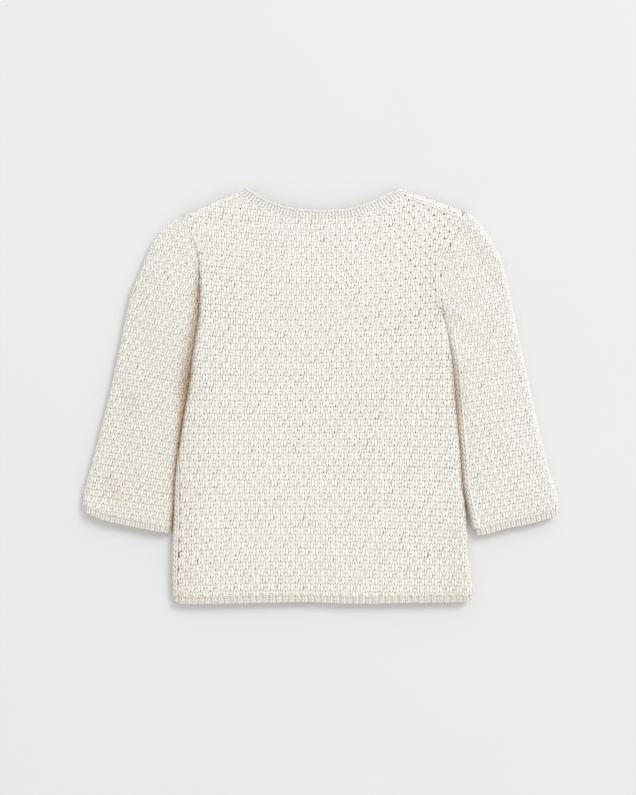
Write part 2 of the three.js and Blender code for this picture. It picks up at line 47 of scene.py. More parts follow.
# %% [markdown]
# ## Camera, floor and light
# A garment laid flat is photographed from straight above, with a long lens so that its outline
# stays true. One large soft light stands at the upper right. A plain pale surround fills the
# shadows, so only the folds and the holes between the stitches go dark.

# %% Camera straight above
METRES = 0.001
LENS = 85
SENSOR = 36
VIEW_HEIGHT = 636  # millimetres of floor that the picture shows, top to bottom
VIEW_CENTRE = (-2.0, -1.6)

camera_data = bpy.data.cameras.new("camera")
camera_data.lens = LENS
camera_data.sensor_width = SENSOR
camera_data.clip_end = 20
camera = bpy.data.objects.new("camera", camera_data)
bpy.context.collection.objects.link(camera)
camera_height = VIEW_HEIGHT * LENS / SENSOR + 6
camera.location = (VIEW_CENTRE[0] * METRES, VIEW_CENTRE[1] * METRES, camera_height * METRES)
bpy.context.scene.camera = camera
print("camera height:", round(camera_height), "mm")


# %% A helper for colours and one for nodes
def linear(hex_colour):
    """Linear colour of an sRGB hex value: each part divided by 255, then raised by the sRGB curve."""
    parts = [int(hex_colour[i : i + 2], 16) / 255 for i in (1, 3, 5)]
    curved = [p / 12.92 if p <= 0.04045 else ((p + 0.055) / 1.055) ** 2.4 for p in parts]
    return (*curved, 1)


def add_node(material, kind, settings=None, **inputs):
    """A node of one kind, with its settings, its socket values, and its links given as sockets."""
    node = material.node_tree.nodes.new(kind)
    for key, value in (settings or {}).items():
        setattr(node, key, value)
    for key, value in inputs.items():
        socket = node.inputs[int(key[1:])] if key[1:].isdigit() else node.inputs[key.replace("_", " ")]
        if isinstance(value, bpy.types.NodeSocket):
            material.node_tree.links.new(value, socket)
        else:
            socket.default_value = value
    return node


def new_material(name):
    """An empty node material and its Principled shader."""
    material = bpy.data.materials.new(name)
    material.use_nodes = True
    shader = next(n for n in material.node_tree.nodes if n.type == "BSDF_PRINCIPLED")
    return material, shader


def link(material, source, target):
    """Joins one node's output to another's input."""
    material.node_tree.links.new(source, target)


# %% Floor: smooth painted board, matt and almost white
FLOOR_SIZE = 3000

painted_board, board = new_material("painted_board")
board.inputs["Roughness"].default_value = 0.85
board.inputs["Specular IOR Level"].default_value = 0.15
board_place = add_node(painted_board, "ShaderNodeTexCoord")
board_mottle = add_node(
    painted_board, "ShaderNodeTexNoise", Vector=board_place.outputs["Object"], Scale=6.0, Detail=2.0
)
board_colour = add_node(
    painted_board, "ShaderNodeMix", {"data_type": "RGBA"}, Factor=board_mottle.outputs["Fac"],
    _6=linear("#E3E3E4"), _7=linear("#E6E6E7"),
)
link(painted_board, board_colour.outputs[2], board.inputs["Base Color"])

half = FLOOR_SIZE / 2 * METRES
floor_mesh = bpy.data.meshes.new("floor")
floor_mesh.from_pydata(
    [(-half, -half, -0.0002), (half, -half, -0.0002), (half, half, -0.0002), (-half, half, -0.0002)],
    [], [(0, 1, 2, 3)],
)
floor_mesh.materials.append(painted_board)
floor = bpy.data.objects.new("floor", floor_mesh)
bpy.context.collection.objects.link(floor)

# %% Light: a soft box at the upper right and a pale surround
SOFT_BOX_PLACE = (3.0, 3.3, 4.35)
SOFT_BOX_SIZE = 2.6
SOFT_BOX_POWER = 172.0
SOFT_BOX_COLOUR = (0.995, 0.985, 0.97)
SURROUND = 0.797
SURROUND_COLOUR = (0.992, 0.99, 0.988, 1)

soft_box_data = bpy.data.lights.new("soft_box", "AREA")
soft_box_data.shape = "SQUARE"
soft_box_data.size = SOFT_BOX_SIZE
soft_box_data.energy = SOFT_BOX_POWER
soft_box_data.color = SOFT_BOX_COLOUR
soft_box = bpy.data.objects.new("soft_box", soft_box_data)
soft_box.location = SOFT_BOX_PLACE
bpy.context.collection.objects.link(soft_box)
bpy.context.view_layer.update()
soft_box.rotation_euler = soft_box.location.to_track_quat("Z", "Y").to_euler()

world = bpy.data.worlds.new("surround")
bpy.context.scene.world = world
world.use_nodes = True
surround = next(n for n in world.node_tree.nodes if n.type == "BACKGROUND")
surround.inputs["Color"].default_value = SURROUND_COLOUR
surround.inputs["Strength"].default_value = SURROUND
bpy.context.scene.view_settings.view_transform = "Standard"

# %% [markdown]
# ## The cut, as it lies
# The garment's outline is the same set of short tables that its solids were made from: the side
# edges from hem to shoulder, the shoulder folds, the neckband's seam and edge, and the folds and
# cuff edges of both sleeves. Every stitch finds its place from them.

# %% Cloth and outline tables, in millimetres
CLOTH = 2.6
THICKNESS = 8.3
MIDDLE = THICKNESS / 2
FOLD_WIDTH = 5.5
FOLD_RADIUS = (FOLD_WIDTH + MIDDLE) / 2
SEAM_GAP = 0.3
LEFT_UNDERARM = 89
RIGHT_UNDERARM = 67
HEM_DEPTH = 6.5
CUFF_DEPTH = 6.2
BAND_LEFT = -11
BAND_RIGHT = 13
BAND_THICKNESS = 1.7
BAND_TOP = 121.1
RAMP_WIDTH = 16
UNDERARM_REACH = 18  # over so much length a side fold runs out into the armhole seam
CREASE_DIP = 1.9  # how far a sleeve sinks beside the body

# height up the table, left edge, right edge
BODY_EDGES = np.array([
    (-168, -117.0, 121.8), (-150, -117.9, 121.0), (-130, -118.0, 118.4), (-110, -117.4, 117.1),
    (-90, -116.9, 115.8), (-70, -116.3, 113.5), (-45, -113.7, 112.1), (-20, -110.3, 109.7),
    (5, -106.0, 107.7), (30, -102.9, 105.4), (50, -99.7, 101.9), (67, -97.4, 97.9),
    (89, -97.0, 95.9), (103, -97.1, 96.5), (114, -98.4, 100.6), (125, -102.3, 105.3),
    (135, -106.0, 109.9), (144, -109.3, 114.0), (148, -110.8, 115.6),
])
# height, and how far round the left edge from the top the side seam lies, in degrees
LEFT_SEAM_TURN = np.array([(-170, 20), (-66, 20), (-34, 90), (170, 90)])
HEM_LINE = np.array([
    (-125, -166.4), (-89, -166.7), (-16, -165.2), (26, -166.4), (76, -165.8), (125, -165.0),
])
HEM_CORNER = (6, 4.8)
LEFT_SHOULDER = np.array([
    (-59.6, 166.8), (-66.8, 162.8), (-82.4, 155.9), (-95.6, 149.6), (-109.3, 144.2),
])
RIGHT_SHOULDER = np.array([
    (65.4, 165.3), (72.5, 162.6), (82.0, 159.4), (92.2, 155.6), (104.0, 151.3), (115.5, 146.9),
])
# neckband: its seam (x, y) and its free edge (x, y)
BACK_NECK = np.array([
    (-66.8, 162.8, -59.6, 166.8), (-52.5, 153.2, -48.4, 159.6), (-39.4, 147.4, -36.4, 154.0),
    (-26.0, 143.4, -24.4, 150.4), (-11.3, 141.7, -10.8, 148.8), (7.9, 141.3, 7.6, 148.4),
    (21.2, 142.3, 19.6, 149.2), (34.6, 145.6, 31.6, 152.0), (47.6, 150.4, 43.6, 156.4),
    (58.9, 156.2, 54.0, 161.6), (72.5, 162.6, 65.4, 165.3),
])
LEFT_FRONT_NECK = np.array([
    (-11.3, 114.0, -11.3, 121.1), (-30.0, 118.5, -27.2, 125.0), (-44.0, 126.0, -39.6, 131.6),
    (-55.0, 136.5, -49.2, 140.6), (-62.5, 150.0, -55.8, 152.3), (-66.8, 162.8, -59.6, 166.8),
])
RIGHT_FRONT_NECK = np.array([
    (72.5, 162.6, 65.4, 165.3), (67.5, 150.0, 60.8, 152.3), (60.0, 136.5, 54.2, 140.6),
    (48.0, 126.0, 43.6, 131.6), (33.0, 118.5, 30.2, 125.0), (13.3, 114.0, 13.3, 121.1),
])
LEFT_SLEEVE_OUTER = np.array([
    (-188.9, -93.2), (-189.9, -84.0), (-187.2, -69.9), (-181.8, -50.0), (-176.6, -30.2),
    (-168.6, 2.6), (-159.3, 45.1), (-151.4, 82.2), (-144.7, 98.2), (-139.4, 111.4),
    (-132.8, 124.7), (-123.6, 135.4), (-110.2, 143.8),
])
RIGHT_SLEEVE_OUTER = np.array([
    (188.6, -96.4), (190.0, -88.0), (187.9, -75.0), (182.2, -57.9), (176.4, -35.0),
    (169.2, -1.6), (160.7, 37.0), (152.2, 77.0), (147.9, 97.0), (142.2, 114.1),
    (133.6, 128.4), (125.4, 139.8), (116.1, 146.8),
])
LEFT_CUFF_EDGE = np.array([
    (-188.9, -93.2), (-175.2, -99.1), (-155.4, -103.8), (-139.4, -107.2), (-120.0, -110.6),
])
RIGHT_CUFF_EDGE = np.array([
    (124.4, -112.0), (134.0, -110.6), (147.9, -106.5), (169.2, -102.2), (188.6, -96.4),
])
# height, and how far the sleeve's inner fold stands off the body there
LEFT_SLEEVE_OFFSET = np.array([(-112, 2.6), (-98, 0.8), (-85, -0.2), (90, -0.4)])
RIGHT_SLEEVE_OFFSET = np.array([(-113, 7.2), (-95, 2.6), (-75, 0.4), (-60, -0.2), (90, -0.4)])
# height, width and strength of the creases between the sleeves and the body, which sink the sleeves and
# set the painted brown crease shade
LEFT_CREASE = np.array([
    (-112, 1.8, 0.3), (-100, 2.8, 0.9), (-60, 3.2, 1), (-20, 4.2, 1), (15, 7.0, 1), (50, 6.4, 1),
    (80, 5.2, 1), (92, 4.6, 0.8), (103, 4.0, 0.5), (114, 3.2, 0.4), (130, 2.4, 0.25), (146, 2.0, 0),
])
RIGHT_CREASE = np.array([
    (-112, 1.6, 0), (-95, 2.2, 0.9), (-70, 2.8, 1), (-30, 3.0, 0.8), (0, 4.8, 0.85), (35, 3.6, 0.6),
    (50, 2.4, 0.3), (64, 2.0, 0),
])
# ridges and troughs of the top layer: from (x, y), to (x, y), width, rise
SOFT_FOLDS = np.array([
    (114, 132, 142, 88, 7, -1.1), (104, 118, 130, 122, 6, 0.8), (103, 62, 122, 44, 6, -1.0),
    (84, 108, 88, 74, 7, -0.7), (-108, 122, -128, 96, 8, 0.7), (-160, 10, -148, -34, 8, -0.8),
    (-172, -84, -158, -66, 6, -0.9), (-98, -6, -94, -62, 9, -0.7), (104, -96, 100, -150, 9, -0.6),
    (150, -30, 168, -80, 9, 0.7),
])
# painted shade and light: places where the yarn takes more of its painted deep shade, over troughs
# and sagging cloth, or less of it (less than 0), where it is painted lighter: from, to, width, share
PAINTED_SHADE_PLACES = np.array([
    (-108, 10, -112, -160, 15, 0.11), (-100, -168, 115, -168, 38, 0.05), (106, -115, 114, -165, 16, 0.07),
    (-160, -20, -150, -90, 30, 0.05), (114, 132, 141, 88, 7, 0.10), (98, 66, 106, 60, 6, 0.16),
    (86, 112, 88, 70, 7, 0.09), (-164, 8, -152, -4, 9, 0.07), (-171, -70, -160, -81, 6, 0.09),
    (-150, 90, -128, 40, 16, 0.04), (112, 20, 118, -60, 9, 0.06), (-60, 152, 70, 152, 55, -0.06),
    (128, 110, 170, -20, 30, -0.05), (-125, 108, -162, -70, 32, 0.04),
])


# %% Lines through the tables
def curve_through(table, place, column=1):
    """A smooth value between a table's rows: a cubic that, at each row, has the slope of the
    straight line between the rows before and after it."""
    key, value = table[:, 0], table[:, column]
    last = len(key) - 1
    here = np.arange(last + 1)
    before, after = np.maximum(here - 1, 0), np.minimum(here + 1, last)
    slope = (value[after] - value[before]) / (key[after] - key[before])
    at = np.clip(place, key[0], key[-1])
    high = np.clip(np.searchsorted(key, at), 1, last)
    low = high - 1
    span = key[high] - key[low]
    s = (at - key[low]) / span
    bend = s * s * (3 - 2 * s)
    ends = value[low] * (1 - bend) + value[high] * bend
    return ends + s * (1 - s) ** 2 * span * slope[low] + s * s * (s - 1) * span * slope[high]


def rounded_line(points, steps=24):
    """Points along a line that rounds through the given ones: between two of them a cubic whose
    ends lean as a Catmull-Rom curve's do, each stretch weighed by the root of its length."""
    given = np.asarray(points, float)
    line = np.vstack([2 * given[:1] - given[1:2], given, 2 * given[-1:] - given[-2:-1]])
    a, b, c, d = line[:-3], line[1:-2], line[2:-1], line[3:]
    root = lambda p, q: np.sqrt(np.linalg.norm(q - p, axis=1))[:, None]
    first, span, last = root(a, b), root(b, c), root(c, d)
    leave = ((b - a) / first - (c - a) / (first + span) + (c - b) / span) * span
    arrive = ((c - b) / span - (d - b) / (span + last) + (d - c) / last) * span
    s = (np.arange(steps) / steps)[None, :, None]
    b, c, leave, arrive = (v[:, None, :] for v in (b, c, leave, arrive))
    bend = s * s * (3 - 2 * s)
    inside = b * (1 - bend) + c * bend + leave * s * (1 - s) ** 2 + arrive * s * s * (s - 1)
    return np.vstack([inside.reshape(-1, given.shape[1]), given[-1:]])


def distance_to(line, x, y):
    """Shortest distance in plan from each point to a line of straight pieces."""
    start, way = line[:-1], np.diff(line, axis=0)
    dx, dy = x[..., None] - start[:, 0], y[..., None] - start[:, 1]
    share = np.clip((dx * way[:, 0] + dy * way[:, 1]) / (way**2).sum(1), 0, 1)
    return np.hypot(dx - share * way[:, 0], dy - share * way[:, 1]).min(-1)


def soft_step(value):
    """0 below 0, 1 above 1, and an S between."""
    s = np.clip(value, 0, 1)
    return s * s * (3 - 2 * s)


def left_edge(y):
    return curve_through(BODY_EDGES, y, 1)


def right_edge(y):
    return curve_through(BODY_EDGES, y, 2)


print("width at the hem:", round(float(right_edge(-150) - left_edge(-150))), "mm")

# %% [markdown]
# ## Cloth as a flattened tube
# Knitting is a tube here: body and sleeves fold at their sides, lie double, and are rounded where
# they fold. So a place on the cloth is given as a knitter would, by a distance across it, measured
# over the fold, and a distance along it. One function turns the two into a point in space.

# %% Heights that vary over the table
SHOULDER_FOLDS = [rounded_line(LEFT_SHOULDER, 6), rounded_line(RIGHT_SHOULDER, 6)]
LEFT_BAND_LIFT = CLOTH + 0.2
RIGHT_BAND_LIFT = 0.8


def bells(table, x, y):
    """Sum over a table's rows: the last value times a bell of the distance from the row's line."""
    total = np.zeros_like(x)
    for from_x, from_y, to_x, to_y, width, rise in table:
        away = distance_to(np.array([(from_x, from_y), (to_x, to_y)]), x, y)
        total += rise * np.exp(-((away / width) ** 2))
    return total


def band_lift(x):
    """How far a front rises from the table to its button band, an S over the ramp's width."""
    left = soft_step((x - BAND_LEFT + RAMP_WIDTH) / RAMP_WIDTH) * LEFT_BAND_LIFT
    right = soft_step((BAND_RIGHT + RAMP_WIDTH - x) / RAMP_WIDTH) * RIGHT_BAND_LIFT
    return np.where(x < (BAND_LEFT + BAND_RIGHT) / 2, left, right)


def shoulder_rise(x, y):
    """Share of the half thickness that is left at a place: a quarter circle of its distance from
    the nearer shoulder fold, over the fold's width."""
    away = np.minimum(distance_to(SHOULDER_FOLDS[0], x, y), distance_to(SHOULDER_FOLDS[1], x, y))
    return np.sqrt(1 - (1 - np.clip(away / FOLD_WIDTH, 0, 1)) ** 2)


# %% The tube
class Tube:
    """A flattened tube of cloth. Its axis is a line in plan, its edges are given by the distance
    along it, and each edge is folded up to its underarm and is a seam beyond."""

    def __init__(self, origin, tilt, left, right, left_end, right_end, is_body=False):
        self.origin = np.array(origin, float)
        self.axis = np.array([np.sin(tilt), np.cos(tilt)])
        self.side = np.array([np.cos(tilt), -np.sin(tilt)])
        self.left, self.right = left, right
        self.left_end, self.right_end = left_end, right_end
        self.is_body = is_body
        self.creases = []  # side, table of the crease, shares of its width and strength

    def plan(self, across, along):
        """x and y of a place in the tube's own axes."""
        x = self.origin[0] + across * self.side[0] + along * self.axis[0]
        return x, self.origin[1] + across * self.side[1] + along * self.axis[1]

    def folds(self, along):
        """Where the level part starts and ends across, and how round each edge is, from 1 to 0."""
        low_round = np.maximum(soft_step((self.left_end - along) / UNDERARM_REACH + 0.5), 0.02)
        high_round = np.maximum(soft_step((self.right_end - along) / UNDERARM_REACH + 0.5), 0.02)
        low = self.left(along) + FOLD_WIDTH * low_round
        high = self.right(along) - FOLD_WIDTH * high_round
        return low, np.maximum(high, low), low_round, high_round

    def edge(self, along, side, degrees):
        """Distance across to a turn of so many degrees round the left (-1) or right (1) fold."""
        low, high, low_round, high_round = self.folds(along)
        reach = FOLD_RADIUS * np.radians(degrees)
        return low - reach * low_round if side < 0 else high + reach * high_round

    def flat_place(self, across, along):
        """Plan place across, and the turn from the top: level, then half an ellipse round the
        fold, then level again below."""
        low, high, low_round, high_round = self.folds(along)
        past_low, past_high = np.maximum(low - across, 0), np.maximum(across - high, 0)
        side = np.where(past_low > 0, -1.0, 1.0)
        share = np.where(past_low > 0, low_round, high_round)
        past = past_low + past_high
        turn = np.minimum(past / (FOLD_RADIUS * share), np.pi)
        under = past - turn * FOLD_RADIUS * share
        level = np.clip(across, low, high)
        return level + side * (FOLD_WIDTH * share * np.sin(turn) - under), turn

    def crevice(self, across, along):
        """How far a place is hidden from light by the cloth across a crease: a bell of its
        distance from the edge that faces its neighbour, as wide and as strong as the crease."""
        flat, _turn = self.flat_place(across, along)
        _x, y = self.plan(flat, along)
        hidden = np.zeros_like(flat)
        for side, crease, width_share, strength_share in self.creases:
            away = flat - self.left(along) if side < 0 else self.right(along) - flat
            width = curve_through(crease, y, 1) * width_share
            strength = curve_through(crease, y, 2) * strength_share
            hidden = np.maximum(hidden, strength * np.exp(-((away / width) ** 2)))
        return hidden

    def surface(self, across, along):
        """Point of the outer surface: the plan place, at mid height plus the cosine of the turn
        times the half thickness, with the soft folds above and the button band's lift below."""
        flat, turn = self.flat_place(across, along)
        x, y = self.plan(flat, along)
        rise = shoulder_rise(x, y) if self.is_body else np.ones_like(x)
        upper = (1 + np.cos(turn)) / 2
        z = MIDDLE * (1 + np.cos(turn) * rise) + bells(SOFT_FOLDS, x, y) * upper * rise
        if not self.is_body:
            z = z - CREASE_DIP * self.crevice(across, along) * upper
        if self.is_body:
            z = z + band_lift(x) * (1 - upper) * (turn > np.pi / 2)
        return np.stack([x, y, z], axis=-1)

    def lifted(self, across, along, height):
        """Points a height off the surface, along the cross product of its two directions."""
        step = 0.08
        here = self.surface(across, along)
        over = self.surface(across + step, along) - self.surface(across - step, along)
        up = here - self.surface(across, along - step)
        facing = np.cross(over, up)
        facing /= np.maximum(np.linalg.norm(facing, axis=-1, keepdims=True), 1e-12)
        return here + facing * np.asarray(height)[..., None]


# %% Body and sleeves as tubes
SLEEVE_TILT = {"left": np.radians(9.4), "right": np.radians(-9.9)}
ARMHOLE_LAP = {"left": 1.0, "right": 0.3}  # a sleeve reaches so far under the body's edge


def sleeve_tube(side, outer, cuff_edge, offsets, underarm, body_edge, sign):
    """A sleeve in its own axes, from the middle of its cuff edge. Its inner edge follows the body,
    a little off it, up to the underarm, and then the armhole seam up to the shoulder."""
    corner = cuff_edge[-1] if sign < 0 else cuff_edge[0]
    shoulder = outer[-1]
    heights = np.linspace(corner[1], underarm, 60)
    beside = np.stack([body_edge(heights) + sign * curve_through(offsets, heights), heights], 1)
    beside[0] = corner
    armhole_y = np.linspace(underarm + 1, shoulder[1] - 1, 20)
    armhole = np.stack([body_edge(armhole_y) - sign * ARMHOLE_LAP[side], armhole_y], 1)
    inner = np.vstack([beside, armhole, shoulder[None]])
    outer_line = rounded_line(outer)
    origin = cuff_edge.mean(0)
    tilt = SLEEVE_TILT[side]
    axis, across = np.array([np.sin(tilt), np.cos(tilt)]), np.array([np.cos(tilt), -np.sin(tilt)])

    def edge_of(line):
        along, off = (line - origin) @ axis, (line - origin) @ across
        return lambda place: np.interp(place, along, off)

    inner_edge, outer_edge = edge_of(inner), edge_of(outer_line)
    underarm_along = float((beside[-1] - origin) @ axis)
    top = float((shoulder - origin) @ axis)
    cuff = rounded_line(cuff_edge)
    cuff_along, cuff_across = (cuff - origin) @ axis, (cuff - origin) @ across
    left, right = (outer_edge, inner_edge) if sign < 0 else (inner_edge, outer_edge)
    ends = (top, underarm_along) if sign < 0 else (underarm_along, top)
    tube = Tube(origin, tilt, left, right, *ends)
    tube.bottom = lambda off: np.interp(off, cuff_across, cuff_along)
    tube.top = top
    tube.creases = [(-sign, LEFT_CREASE if sign < 0 else RIGHT_CREASE, 1, 1)]
    return tube


body = Tube((0, 0), 0.0, left_edge, right_edge, LEFT_UNDERARM, RIGHT_UNDERARM, is_body=True)
body.creases = [(-1, LEFT_CREASE, 0.35, 0.7), (1, RIGHT_CREASE, 0.6, 0.7)]
sleeves = {
    "left": sleeve_tube(
        "left", LEFT_SLEEVE_OUTER, LEFT_CUFF_EDGE, LEFT_SLEEVE_OFFSET, LEFT_UNDERARM, left_edge, -1
    ),
    "right": sleeve_tube(
        "right", RIGHT_SLEEVE_OUTER, RIGHT_CUFF_EDGE, RIGHT_SLEEVE_OFFSET, RIGHT_UNDERARM, right_edge, 1
    ),
}
print("sleeve lengths:", {side: round(tube.top) for side, tube in sleeves.items()}, "mm")


# %% Upper and lower edges of the body's panels
def hem_bottom(x):
    """Lower edge of the hem, with a quarter ellipse at each corner."""
    inset = np.minimum(x - left_edge(-160), right_edge(-160) - x)
    share = 1 - np.clip(inset / HEM_CORNER[0], 0, 1)
    return curve_through(HEM_LINE, x) + HEM_CORNER[1] * (1 - np.sqrt(1 - share**2))


def hem_seam(x):
    return curve_through(HEM_LINE, x) + HEM_DEPTH


def upper_edge(neck, x):
    """Shoulder fold, neck seam, shoulder fold."""
    left = curve_through(LEFT_SHOULDER[::-1], x)
    right = curve_through(RIGHT_SHOULDER, x)
    between = curve_through(neck, x)
    return np.where(x < BACK_NECK[0, 0], left, np.where(x > BACK_NECK[-1, 0], right, between))


FRONT_NECK = np.vstack([LEFT_FRONT_NECK[::-1], RIGHT_FRONT_NECK[::-1]])


def back_top(x):
    return upper_edge(BACK_NECK, x)


def front_top(x):
    neck = np.interp(x, FRONT_NECK[:, 0], FRONT_NECK[:, 1])
    return np.where((x > BACK_NECK[0, 0]) & (x < BACK_NECK[-1, 0]), neck, back_top(x))


# %% [markdown]
# ## Yarn
# The yarn is soft cotton, plied from thin strands, cream, matt, with a faint bloom where light
# grazes it. Light that reaches the gaps has bounced from yarn to yarn and has turned warm, so the
# shader is given how deep a point lies and warms its colour there. The ply's twist is a fine wave
# that winds round each stitch.

# %% Cream cotton yarn
YARN_LIGHT = "#FAF8F1"
# the next colour is painted shade: light bounced warm into the gaps between stitches
YARN_DEEP_SHADE = "#BA9A64"
# the next colour is painted shade: the brown of the shaded creases between sleeve and body
YARN_CREASE_SHADE = "#966B2E"
PLY_LENGTH = 2.4  # millimetres along the yarn for one turn of its ply
LIGHT_REACH = 0.9  # millimetres that light creeps through the loose fibres
FUZZ_SIZE = 0.5  # millimetres, coarser than real fibres so that it shows


def cotton_yarn(name, light, deep, crevice):
    """Cream cotton, painted with warm shade where it lies deep and brown shade in the creases between
    sleeve and body, and finely twisted and fuzzy on top."""
    material, shader = new_material(name)
    shader.inputs["Roughness"].default_value = 0.92
    shader.inputs["Specular IOR Level"].default_value = 0.12
    shader.inputs["Sheen Weight"].default_value = 0.05
    shader.inputs["Subsurface Weight"].default_value = 0.4
    shader.inputs["Subsurface Radius"].default_value = (1.0, 1.0, 1.0)
    shader.inputs["Subsurface Scale"].default_value = LIGHT_REACH * METRES
    shader.inputs["Sheen Roughness"].default_value = 0.5
    place = add_node(material, "ShaderNodeTexCoord")
    depth = add_node(material, "ShaderNodeAttribute", {"attribute_name": "depth"})
    twist = add_node(material, "ShaderNodeAttribute", {"attribute_name": "twist"})
    colour = add_node(
        material, "ShaderNodeMix", {"data_type": "RGBA"}, Factor=depth.outputs["Fac"],
        _6=linear(light), _7=linear(deep),
    )
    hidden = add_node(material, "ShaderNodeAttribute", {"attribute_name": "crevice"})
    colour = add_node(
        material, "ShaderNodeMix", {"data_type": "RGBA"}, Factor=hidden.outputs["Fac"],
        _6=colour.outputs[2], _7=linear(crevice),
    )
    patches = add_node(
        material, "ShaderNodeTexNoise", Vector=place.outputs["Object"],
        Scale=1 / (9 * METRES), Detail=2.0,
    )
    shade = add_node(
        material, "ShaderNodeMapRange", Value=patches.outputs["Fac"], To_Min=0.955, To_Max=1.03
    )
    varied = add_node(
        material, "ShaderNodeMix", {"data_type": "RGBA", "blend_type": "MULTIPLY"},
        Factor=1.0, _6=colour.outputs[2], _7=shade.outputs["Result"],
    )
    link(material, varied.outputs[2], shader.inputs["Base Color"])
    fuzz = add_node(
        material, "ShaderNodeTexNoise", Vector=place.outputs["Object"],
        Scale=1 / (FUZZ_SIZE * METRES), Detail=3.0,
    )
    relief = add_node(material, "ShaderNodeMath", {"operation": "MULTIPLY_ADD"},
                      _0=twist.outputs["Fac"], _1=0.5, _2=fuzz.outputs["Fac"])
    bump = add_node(
        material, "ShaderNodeBump", Strength=0.3, Distance=0.25 * METRES,
        Height=relief.outputs["Value"],
    )
    link(material, bump.outputs["Normal"], shader.inputs["Normal"])
    return material


cream_yarn = cotton_yarn("cream_cotton_yarn", YARN_LIGHT, YARN_DEEP_SHADE, YARN_CREASE_SHADE)


# %% Meshes from whole arrays
def make_piece(name, points, faces, depth, twist=None, crevice=None, material=None):
    """A mesh object from points in millimetres and arrays of faces, each array with its own
    number of corners. It carries how deep each point lies and how far it is hidden in a crease,
    which set its painted shade, and the twist of its ply."""
    corners = np.concatenate([f.ravel() for f in faces])
    counts = np.concatenate([np.full(len(f), f.shape[1]) for f in faces])
    mesh = bpy.data.meshes.new(name)
    mesh.vertices.add(len(points))
    mesh.vertices.foreach_set("co", (points * METRES).ravel())
    mesh.loops.add(len(corners))
    mesh.loops.foreach_set("vertex_index", corners)
    mesh.polygons.add(len(counts))
    mesh.polygons.foreach_set("loop_start", np.append(0, np.cumsum(counts)[:-1]))
    mesh.polygons.foreach_set("use_smooth", np.ones(len(counts), bool))
    for label, values in (("depth", depth), ("twist", twist), ("crevice", crevice)):
        values = np.zeros(len(points)) if values is None else np.broadcast_to(values, len(points))
        attribute = mesh.attributes.new(label, "FLOAT", "POINT")
        attribute.data.foreach_set("value", np.ascontiguousarray(values, np.float32))
    mesh.update(calc_edges=True)
    mesh.materials.append(material or cream_yarn)
    piece = bpy.data.objects.new(name, mesh)
    bpy.context.collection.objects.link(piece)
    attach(piece, "root")
    print(f"{name}: {int((counts - 2).sum())} triangles")
    return piece


def shell_faces(rows, columns):
    """Quads of a closed shell whose outer points come first: outside, inside and the rims."""
    i, j = np.meshgrid(np.arange(rows - 1), np.arange(columns - 1), indexing="ij")
    place = lambda row, column: row * columns + column
    inner = rows * columns
    a, b, c, d = place(i, j), place(i, j + 1), place(i + 1, j + 1), place(i + 1, j)
    quads = [np.stack([a, b, c, d], -1), inner + np.stack([a, d, c, b], -1)]
    ends = np.arange(columns - 1)
    first, after = place(0, ends), place(0, ends + 1)
    quads.append(np.stack([first, inner + first, inner + after, after], -1))
    first, after = place(rows - 1, ends), place(rows - 1, ends + 1)
    quads.append(np.stack([first, after, inner + after, inner + first], -1))
    ends = np.arange(rows - 1)
    first, after = place(ends, 0), place(ends + 1, 0)
    quads.append(np.stack([first, after, inner + after, inner + first], -1))
    first, after = place(ends, columns - 1), place(ends + 1, columns - 1)
    quads.append(np.stack([first, inner + first, inner + after, after], -1))
    return np.concatenate([q.reshape(-1, 4) for q in quads])


def tube_quads(rings, around):
    """Quads between the rings of a tube, each ring with so many points around it."""
    i, j = np.meshgrid(np.arange(rings - 1), np.arange(around), indexing="ij")
    below, above, after = i * around, (i + 1) * around, (j + 1) % around
    return np.stack([below + j, above + j, above + after, below + after], -1).reshape(-1, 4)


# %% [markdown]
# ## The stitches
# The knitting is a tuck pattern. Large stitches, each a V of two strands, stand in a brick order.
# Between them lie pairs of short stitches, one above the other, and a small hole opens at the
# corners of each V. Each strand is a short closed tube with tapered ends that tuck under its
# neighbours.

# %% One strand, as a small tube
def strand(line, radii, flatness, sides):
    """Points, quads and end faces of a closed tube round a short line of (across, along, height).
    Each ring is an ellipse, its height a share of its width, square to the line."""
    line, radii = np.array(line, float), np.array(radii, float)
    way = np.gradient(line, axis=0)
    way /= np.linalg.norm(way, axis=1, keepdims=True)
    sideways = np.cross(way, (0, 0, 1.0))
    sideways /= np.linalg.norm(sideways, axis=1, keepdims=True)
    upward = np.cross(sideways, way)
    angle = np.arange(sides) * 2 * np.pi / sides + np.pi / 2
    ring = np.cos(angle)[None, :, None] * sideways[:, None] * radii[:, None, None]
    ring = ring + np.sin(angle)[None, :, None] * upward[:, None] * radii[:, None, None] * flatness
    points = line[:, None] + ring
    rows = len(line)
    caps = np.array([np.arange(sides), (rows - 1) * sides + np.arange(sides)[::-1]])
    length = np.append(0, np.cumsum(np.linalg.norm(np.diff(line, axis=0), axis=1)))
    twist = np.sin(2 * np.pi * length[:, None] / PLY_LENGTH + angle[None])
    return points.reshape(-1, 3), tube_quads(rows, sides), caps, twist.ravel()


def join_strands(strands):
    """Several strands as one pattern piece."""
    points, quads, caps, twists, base = [], [], [], [], 0
    for p, q, c, t in strands:
        points.append(p)
        quads.append(q + base)
        caps.append(c + base)
        twists.append(t)
        base += len(p)
    return np.vstack(points), [np.vstack(quads), np.vstack(caps)], np.concatenate(twists)


# %% The two stitches of the pattern
CELL_WIDTH = 8.0
ROW_HEIGHT = 5.3
V_CENTRE = 1.9
V_LEAN = -0.35  # the foot of each V leans to the left, which opens the hole on its other side
V_LEG = [
    (0.50, 0.25, -0.29), (0.68, -1.4, -0.30), (0.72, -2.8, -0.28), (0.62, -4.5, -0.24),
    (0.50, -6.2, -0.34),
]
V_RADII = [0.84, 1.34, 1.44, 1.20, 0.78]
LOW_CENTRE = 5.9
